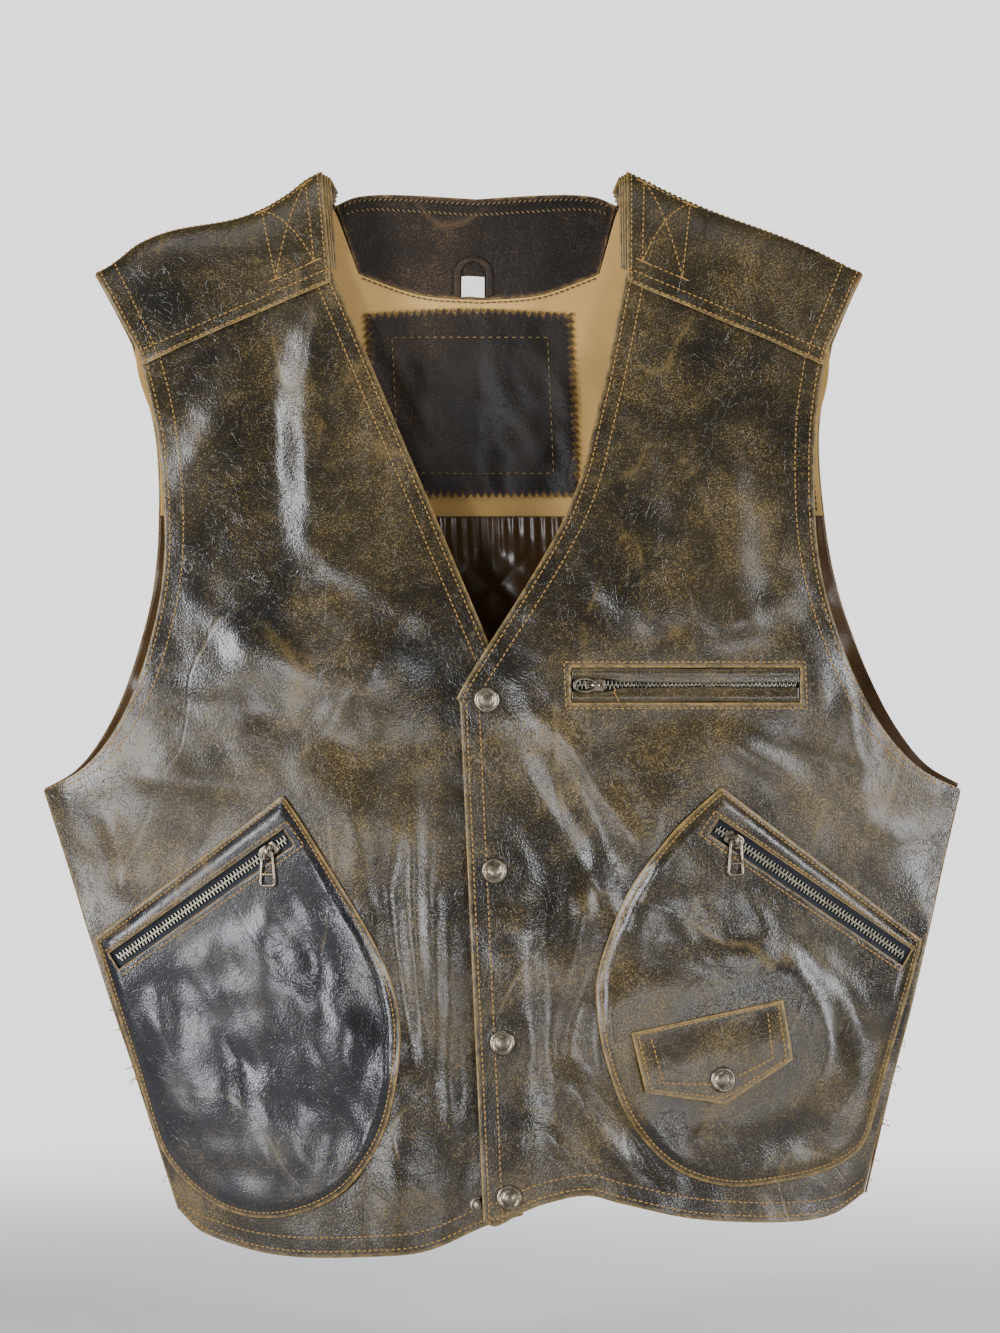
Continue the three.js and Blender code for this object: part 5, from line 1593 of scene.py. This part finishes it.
def sweep(name, spine, normal, section, material, loop=False):
    """Carries a section (side, up) along a path; up is the normal, side is square to it and to the path."""
    spine = np.asarray(spine, float)
    if loop:
        along = np.roll(spine, -1, axis=0) - np.roll(spine, 1, axis=0)
    else:
        along = np.gradient(spine, axis=0)
    along /= np.linalg.norm(along, axis=1)[:, None]
    side = np.cross(np.broadcast_to(normal, along.shape), along)
    side /= np.linalg.norm(side, axis=1)[:, None]
    up = np.cross(along, side)
    across, high = section[:, 0, None], section[:, 1, None]
    return closed_grid(name, spine[:, None] + across * side[:, None] + high * up[:, None], material, loop)


def circle_points(angle):
    """Points of the unit circle at the given angles."""
    return np.stack([np.cos(angle), np.sin(angle)], -1)


def oval(half_wide, half_high, count=12, power=1.0):
    """A section: an ellipse, squarer as its power falls below 1."""
    wave = circle_points(np.arange(count) * 2 * np.pi / count)
    return np.array([half_wide, half_high]) * np.sign(wave) * np.abs(wave) ** power


def turned_piece(name, profile, centre, out, material, segments=48):
    """Turns a profile of (radius, height) round an axis through a centre."""
    profile = np.asarray(profile, float)
    out = np.asarray(out, float) / np.linalg.norm(out)
    side = np.cross(out, [1.0, 0.2, 0.3])
    side /= np.linalg.norm(side)
    other = np.cross(out, side)
    a = np.arange(segments) * 2 * np.pi / segments
    ring = np.cos(a)[:, None] * side + np.sin(a)[:, None] * other
    radius, height = np.maximum(profile[:, 0], 0.02)[:, None, None], profile[:, 1, None, None]
    return closed_grid(name, centre + radius * ring + height * out, material, loop=bool(profile[0, 0] > 0.5))


print("sweeps and lathes are ready")


# %% [markdown]
# ## Snaps
# A snap has four parts: a domed cap and a socket riveted together through the upper leather, and a stud with
# its post through the lower one. The caps are thin pressed brass with a ring rolled into them.

# %% Snap parts
CAP = 2.6
dome = [(0, 0), (1.4, 0.04), (2.6, 0.20), (3.5, 0.52), (4.0, 0.9), (4.35, 1.3), (4.65, 1.42)]
rolled_ring = [
    (4.95, 1.25), (5.4, 0.85), (5.9, 0.70), (6.5, 0.82), (7.05, 1.2), (7.3, 1.65), (7.4, 2.0), (7.3, 2.25),
]
under_cap = [(7.0, GAP), (4, GAP), (1.7, GAP)]
cap_face = [(radius, CAP - down) for radius, down in dome + rolled_ring] + under_cap
cap_profile = cap_face + [(1.7, -3.2), (0, -3.2)]
socket_profile = [
    (2.1, 0), (5.7, 0), (6, -0.3), (6, -2.4), (5.6, -2.8), (3.9, -2.8), (3.7, -2.6), (3.7, -1.2), (2.1, -1.2),
]
stud_profile = [
    (0, 0), (2.4, 0), (2.95, -0.25), (3.2, -0.8), (3.1, -1.3), (2.9, -1.6), (4.6, -1.6), (5, -1.8),
    (5, -2.4), (0, -2.4),
]
post_profile = [(0, 0), (1.1, 0), (1.1, -6.2), (4.7, -6.2), (5, -6.5), (4.7, -7), (0, -7)]
FORWARD = np.array([0.0, -1.0, 0.0])


def snap_part(node, profile, top, body, out=FORWARD):
    """Turns a snap part where its node is: on the node's own centre, from its outermost height."""
    low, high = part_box(node)
    centre = (np.array(low) + np.array(high)) / 2 / MM
    if out is FORWARD:
        centre[1] = low.y / MM + top
    piece = turned_piece(node + "_metal", profile, centre, out, "old_brass")
    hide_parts(node)
    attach(piece, body)


for k in range(1, 5):
    snap_part(f"snap_cap_{k}", cap_profile, CAP, "left_front")
    snap_part(f"snap_socket_{k}", socket_profile, 0, "left_front")
    snap_part(f"snap_stud_{k}", stud_profile, 0, "right_front")
    snap_part(f"snap_post_{k}", post_profile, 0, "right_front")
slope_x, slope_z = flats["flap"]["slope"]
flap_forward = np.array([slope_x, -1, slope_z + LEAN * slope_x])
flap_forward /= np.linalg.norm(flap_forward)
flap_profiles = {
    "flap_snap_cap": cap_face + [(1.7, -2.6), (0, -2.6)],
    "flap_snap_socket": [
        (2.1, 0), (4.7, 0), (5, -0.3), (5, -1.3), (4.8, -1.6), (3.3, -1.6), (3.3, -1), (2.1, -1),
    ],
    "flap_snap_stud": [(0, 1.1), (2.5, 1.1), (2.9, 0.9), (2.8, 0.5), (4.7, 0.5), (5, 0.3), (4.9, 0), (0, 0)],
}
for node, profile in flap_profiles.items():
    low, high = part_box(node)
    centre = (np.array(low) + np.array(high)) / 2 / MM
    heights = [h for _, h in profile]
    centre = centre - flap_forward * (max(heights) + min(heights)) / 2
    piece = turned_piece(node + "_metal", profile, centre, flap_forward, "old_brass")
    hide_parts(node)
    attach(piece, "left_front" if node == "flap_snap_stud" else "pocket_flap")
print("snap parts:", 4 * 4 + len(flap_profiles))

# %% [markdown]
# ## Zips
# A zip is a woven tape, two rows of teeth locked into each other, a slider and a pull. A tooth is one small
# block; the two rows are set half a step apart so that their heads overlap.

# %% Teeth and tapes
TAPE_WIDE, TAPE_THICK, CHAIN_THICK, TOOTH_PITCH = 20, 0.5, 1.4, 2.3
SLIDER_HOME, PLATE, PULL_RISE = 14, 0.8, 2.8
tooth_plan = np.array([(-2.75, -0.55), (0.0, -0.55), (0.7, -0.32), (0.7, 0.32), (0.0, 0.55), (-2.75, 0.55)])


def local(z, x, y, up):
    """A zip's own coordinates turned into world points."""
    x, y, up = np.broadcast_arrays(x, y, up)
    return z["at"] + x[..., None] * z["x"] + y[..., None] * z["y"] + up[..., None] * z["z"]


def teeth(name, z, foot, start, end):
    """Two rows of teeth: a six-sided plan with a chamfered top, copied along both sides."""
    plan = np.concatenate([tooth_plan, tooth_plan, tooth_plan * [0.86, 0.66] - [0.1, 0]])
    up = np.repeat([foot, foot + CHAIN_THICK - 0.4, foot + CHAIN_THICK], 6)
    at, flips = [], []
    for flip, shift in ((1, 0.0), (-1, 0.5)):
        places = np.arange(start + shift * TOOTH_PITCH, end, TOOTH_PITCH)
        at.append(places)
        flips.append(np.full(len(places), flip))
    at, flips = np.concatenate(at), np.concatenate(flips)
    x = at[:, None] + plan[:, 1]
    y = flips[:, None] * plan[:, 0]
    points = local(z, x, y, up[None, :] + 0 * x).reshape(-1, 3)
    caps = [[0, 5, 4, 3], [0, 3, 2, 1], [12, 13, 14, 15], [12, 15, 16, 17]]
    shape = np.concatenate([quads(3, 6, 0, True), caps])
    faces = (shape + (np.arange(len(at)) * 18)[:, None, None]).reshape(-1, 4)
    return face_out(build(name, points, faces, "old_brass", smooth=False))


def zip_tape(name, z, foot, room):
    """The woven tape: a thin flat sheet with a slight rib under each row of teeth."""
    x = np.linspace(-room, z["long"] + room, 120)
    y = np.linspace(-TAPE_WIDE / 2, TAPE_WIDE / 2, 41)[:, None]
    rib = 0.18 * np.exp(-((np.abs(y) - 2.9) / 0.7) ** 2) + 0.05 * np.cos(y * 4)
    upper = local(z, x, y, foot + TAPE_THICK + rib + 0 * x)
    piece = sheet_mesh(name, upper, local(z, x, y, foot + 0 * (x + y)), "zip_tape")
    wide, long = TAPE_WIDE * MM, (z["long"] + 2 * room) * MM
    piece["cut_to"] = [wide, long, wide * long]
    return piece


# %% Sliders and pulls
def slab(name, z, middle, plan, levels, material="old_brass"):
    """A plate from a flat outline: rings at several heights, each with its own inset share."""
    rings = [local(z, middle + plan[:, 0] * s, plan[:, 1] * s, np.full(len(plan), h)) for h, s in levels]
    return closed_grid(name, np.stack(rings), material)


def slider(name, z, foot, turn):
    """A slider: a waisted top plate, two side flanges and the bridge that holds the pull."""
    chain_foot = foot + TAPE_THICK + GAP
    plate_foot = chain_foot + CHAIN_THICK + GAP
    plate_top = plate_foot + PLATE
    a = np.linspace(0, 2 * np.pi, 48, endpoint=False)
    waist = 1 - 0.16 * np.exp(-((np.cos(a) + 0.45) / 0.35) ** 2)
    plan = oval(6.0, 4.2, 48, 0.55) * np.stack([np.ones(48), waist], -1)
    parts = [slab(name + "_plate", z, SLIDER_HOME, plan, [
        (plate_foot, 0.95), (plate_foot + 0.2, 1.0), (plate_top - 0.3, 1.0), (plate_top - 0.05, 0.93),
        (plate_top, 0.8),
    ])]
    for k, flip in enumerate((1, -1)):
        across = flip * (3.45 + 0.3 * np.cos(np.linspace(-3, 3, 24)))
        rail_high = np.full(24, (chain_foot + plate_foot) / 2 + 0.15)
        spine = local(z, SLIDER_HOME + np.linspace(-5.2, 5.2, 24), across, rail_high)
        parts.append(sweep(f"{name}_rail_{k + 1}", spine, z["z"], oval(0.55, 0.85, 10, 0.6), "old_brass"))
    s = np.linspace(0, np.pi, 28)
    reach, tall = 3.7, PULL_RISE + 1.9
    run = -reach * np.cos(s)
    spine = local(
        z, SLIDER_HOME + run * np.cos(turn), run * np.sin(turn), plate_top - 0.2 + tall * np.sin(s) ** 0.75,
    )
    across = -np.sin(turn) * z["x"] + np.cos(turn) * z["y"]
    parts.append(sweep(name + "_bridge", spine, across, oval(0.42, 0.95, 12, 0.7), "old_brass"))
    return parts, plate_top


def pull(name, z, up, turn, wide, long, ring):
    """A wire pull hanging from the slider: a frame with a crossbar, or a plain ring."""
    half = wide / 2 - 0.7
    if ring:
        a = np.linspace(0, 2 * np.pi, 48, endpoint=False)
        flat = np.stack([-half * 0.98 * np.sin(a), long / 2 - 0.8 - (long / 2 - 0.75) * np.cos(a)], -1)
    else:
        low_r, top_r, top_half = 1.6, 1.0, half * 0.72
        arcs = [  # middle across, middle along, radius, quarter turns
            (half - low_r, long - 1.5 - low_r, low_r, 0), (-half + low_r, long - 1.5 - low_r, low_r, 1),
            (-top_half + top_r, top_r, top_r, 2), (top_half - top_r, top_r, top_r, 3),
        ]
        quarter = np.linspace(0, np.pi / 2, 8)
        flat = np.concatenate([
            np.array([at_x, at_y]) + r * circle_points(quarter + turns * np.pi / 2)
            for at_x, at_y, r, turns in arcs
        ])
        flat = polyline(np.concatenate([flat, flat[:1]]), np.linspace(0, 1, 90, endpoint=False))
    ahead = np.array([np.cos(turn), np.sin(turn)])
    beside = np.array([-ahead[1], ahead[0]])

    def wire(points):
        """Flat points of the pull laid at its height over the slider."""
        spot = points[:, 1, None] * ahead + points[:, 0, None] * beside
        return local(z, SLIDER_HOME + spot[:, 0], spot[:, 1], np.full(len(points), up))

    parts = [sweep(name + "_wire", wire(flat), z["z"], oval(0.85, 0.62, 12, 0.7), "old_brass", loop=True)]
    if not ring:
        bar_at = long * 0.62
        bar = np.stack([np.linspace(-half * 0.95, half * 0.95, 10), np.full(10, bar_at)], -1)
        parts.append(sweep(name + "_bar", wire(bar), z["z"], oval(0.75, 0.5, 10, 0.7), "old_brass"))
    return parts


# %% The three zips
CHEST_FOOT = -(LEATHER + 3 * GAP + PLATE + CHAIN_THICK + TAPE_THICK)
POCKET_FOOT = 4 * GAP
zip_facts = {  # foot of the tape, room past its ends, pull's direction, pull's size, body
    "chest": (CHEST_FOOT, 0.5, (-1, 0, 0), (9, 14), "left_front"),
    "left_pocket": (POCKET_FOOT, 3, (0, 0, -1), (10, 21), "left_front"),
    "right_pocket": (POCKET_FOOT, 3, (0, 0, -1), (10, 21), "right_front"),
}
for name, (foot, room, way, size, body) in zip_facts.items():
    z = zips[name]
    tape = zip_tape(name + "_tape", z, foot, room)
    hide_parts(name + "_zip_tape")
    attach(tape, body)
    chain = teeth(name + "_teeth", z, foot + TAPE_THICK + GAP, 2.0, z["long"] - 1.0)
    chain.data.materials.clear()
    chain.data.materials.append(materials["bright_metal"])
    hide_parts(name + "_zip_chain")
    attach(chain, body)
    turn = math.atan2(float(np.dot(way, z["y"])), float(np.dot(way, z["x"])))
    parts, plate_top = slider(name + "_slider", z, foot, turn)
    for piece in parts:
        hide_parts(name + "_zip_slider")
        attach(piece, name + "_slider")
    for piece in pull(name + "_pull", z, plate_top + PULL_RISE, turn, *size, ring=name == "chest"):
        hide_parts(name + "_zip_pull")
        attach(piece, name + "_pull")
print("zips:", ", ".join(zip_facts))

# %% [markdown]
# ## The chest pocket
# The chest zip lies behind two folded lips that nearly close over it, in a window cut in the front.
# Behind them hangs a flat cotton bag.

# %% Lips and bag
LIP_SLOT, LIP_HALF = 2.6, CHEST_WINDOW / 2 - GAP
z = zips["chest"]
for name, side in (("upper", 1), ("lower", -1)):
    x = np.linspace(GAP, z["long"] - GAP, 90)
    near = mix(LIP_SLOT / 2, 3.6, ease((31 - x) / 12))[:, None]
    a = np.arange(28) * 2 * np.pi / 28
    c, s = np.cos(a), np.sin(a)
    wavy = 0.35 * np.sin(np.pi * x / z["long"]) * np.sin(x / 17)
    half = (LIP_HALF - near) / 2
    centre = side * (near + LIP_HALF) / 2 + 0.8 * wavy[:, None] * side
    y = centre + side * half * np.sign(c) * np.abs(c) ** 0.5
    swell = (1.1 + 0.2 * np.sin(x / 9 + side))[:, None] * np.exp(-((side * y - 6.9) / 1.5) ** 2)
    up = -LEATHER / 2 + (LEATHER / 2) * np.sign(s) * np.abs(s) ** 0.6 + swell * (s > 0)
    edge = np.concatenate([np.full(y.size, 3.2), [3.2, 3.2]])
    lip = closed_grid(f"chest_{name}_lip", local(z, x[:, None], y, up), "shell_leather", edge=edge)
    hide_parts(f"chest_pocket_{name}_welt")
    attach(lip, "left_front")


def bag_place(u, v):
    """The bag: a plain rectangle behind the chest zip."""
    return mix(50, 165, u), mix(CHEST_Z + 9, CHEST_Z - 83, v)


bag = panel(
    "chest_bag", bag_place, left_face, -1, CHEST_FOOT - GAP, 0.6, "beige_cotton", (40, 36), 115, 92, 0.2,
)
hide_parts("chest_pocket_bag")
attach(bag, "left_front")

# %% [markdown]
# ## Hanging loop and size label
# A folded strap makes the loop to hang the vest by, with a small woven label sewn inside it, left blank.

# %% The loop
loop_low, loop_high = (np.array(p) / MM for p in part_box("hanging_loop"))
ARCH, STRAP, LOOP_THICK = 11.0, 3.4, 1.5
loop_x = (loop_low[0] + loop_high[0]) / 2
loop_foot, loop_top = loop_low[2], loop_high[2]
a = np.linspace(0, np.pi, 40)
half = ARCH - STRAP / 2
arch_z = loop_top - ARCH
leg = np.linspace(loop_foot, arch_z, 14)[:-1]
flat = np.concatenate([
    np.stack([np.full_like(leg, half), leg], -1),
    np.stack([half * np.cos(a), arch_z + half * np.sin(a)], -1),
    np.stack([np.full_like(leg, -half), leg[::-1]], -1),
])
lean_y = loop_high[1] - loop_low[1] - LOOP_THICK
rise_share = (flat[:, 1] - loop_foot) / (loop_top - loop_foot)
spine = np.stack([loop_x + flat[:, 0], loop_high[1] - LOOP_THICK / 2 - lean_y * rise_share, flat[:, 1]], -1)
loop = sweep("neck_loop", spine, FORWARD, oval(STRAP / 2, LOOP_THICK / 2, 16, 0.6), "inner_leather")
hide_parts("hanging_loop")
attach(loop, "hanging_loop")

# %% The blank label
label_low, label_high = (np.array(p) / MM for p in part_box("size_label"))
u = np.linspace(0, 1, 24)
v = np.linspace(0, 1, 22)[:, None]
x = mix(label_low[0], label_high[0], u) + 0 * v
drop = mix(label_high[2], label_low[2], v) + 0.25 * np.sin(5 * u)
y = mix(label_high[1], label_low[1], 0.5) - 0.5 * np.sin(np.pi * u) * ease(1.2 - v)
label_outer = np.stack(np.broadcast_arrays(x, y - 0.2, drop), -1)
label = sheet_mesh("blank_label", label_outer, label_outer + np.array([0, 0.4, 0]), "label_cloth")
label["cut_to"] = cut_size(label_outer)
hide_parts("size_label")
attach(label, "shell")

# %% [markdown]
# ## Threads
# The rows collected so far become pieces of thread. Where thread ends it frays: a few loose ends hang
# at the side seams and one at the chest zip.

# %% Sewn rows and loose ends
sew("shell_stitches", shell_rows, body="shell")
# Stitches inside the back take the darker thread colour as painted shade; the lining's stitches take dark
# thread.
for name, rows, thread in (("inside", inside_rows, "shaded_thread"), ("lining", dark_rows, "dark_thread")):
    sewn = sew(name + "_stitches", rows, body="shell")
    sewn.data.materials.clear()
    sewn.data.materials.append(materials[thread])


def loose_end(name, start, way, length, half, body):
    """A thread end: a thin tube along a curve that falls and curls."""
    s = np.linspace(0, 1, 16)[:, None]
    bend = rng.normal(0, 1, 3)
    spine = start + way * length * s + np.array([0, 0, -1]) * length * 0.6 * s**2
    spine = spine + bend * length * 0.12 * np.sin(2.5 * s * np.pi)
    piece = sweep(name, spine, np.array([0.3, 0.9, 0.2]), oval(half, half, 6), "thread")
    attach(piece, body)


FRAYED = 24
for k in range(FRAYED):
    sign = 1 if k % 2 else -1
    z_at = rng.uniform(-585, -480)
    x_at = sign * (side_at(z_at) - 2.0)
    start = hang(np.array(x_at), np.array(rng.uniform(-1.5, 1.5)), np.array(z_at))
    way = np.array([sign, rng.normal(0, 0.3), 0.25])
    loose_end(f"frayed_thread_{k + 1}", start, way, rng.uniform(3, 6), 0.2, "shell")
z = zips["chest"]
start = local(z, np.array(24.0), np.array(-1.0), np.array(0.6))
loose_end("zip_thread_end", start, z["z"] * 0.2 - z["y"] * 0.5 + z["x"] * 0.3, 7, 0.3, "left_front")
print("loose ends:", FRAYED + 1)

# %% [markdown]
# ## Size
# Last, the count of pieces and faces is printed, and the bounds of everything shown are measured.

# %% Size of what is shown, and the end
print("made:", totals["pieces"], "pieces,", totals["faces"], "faces")
low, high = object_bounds()
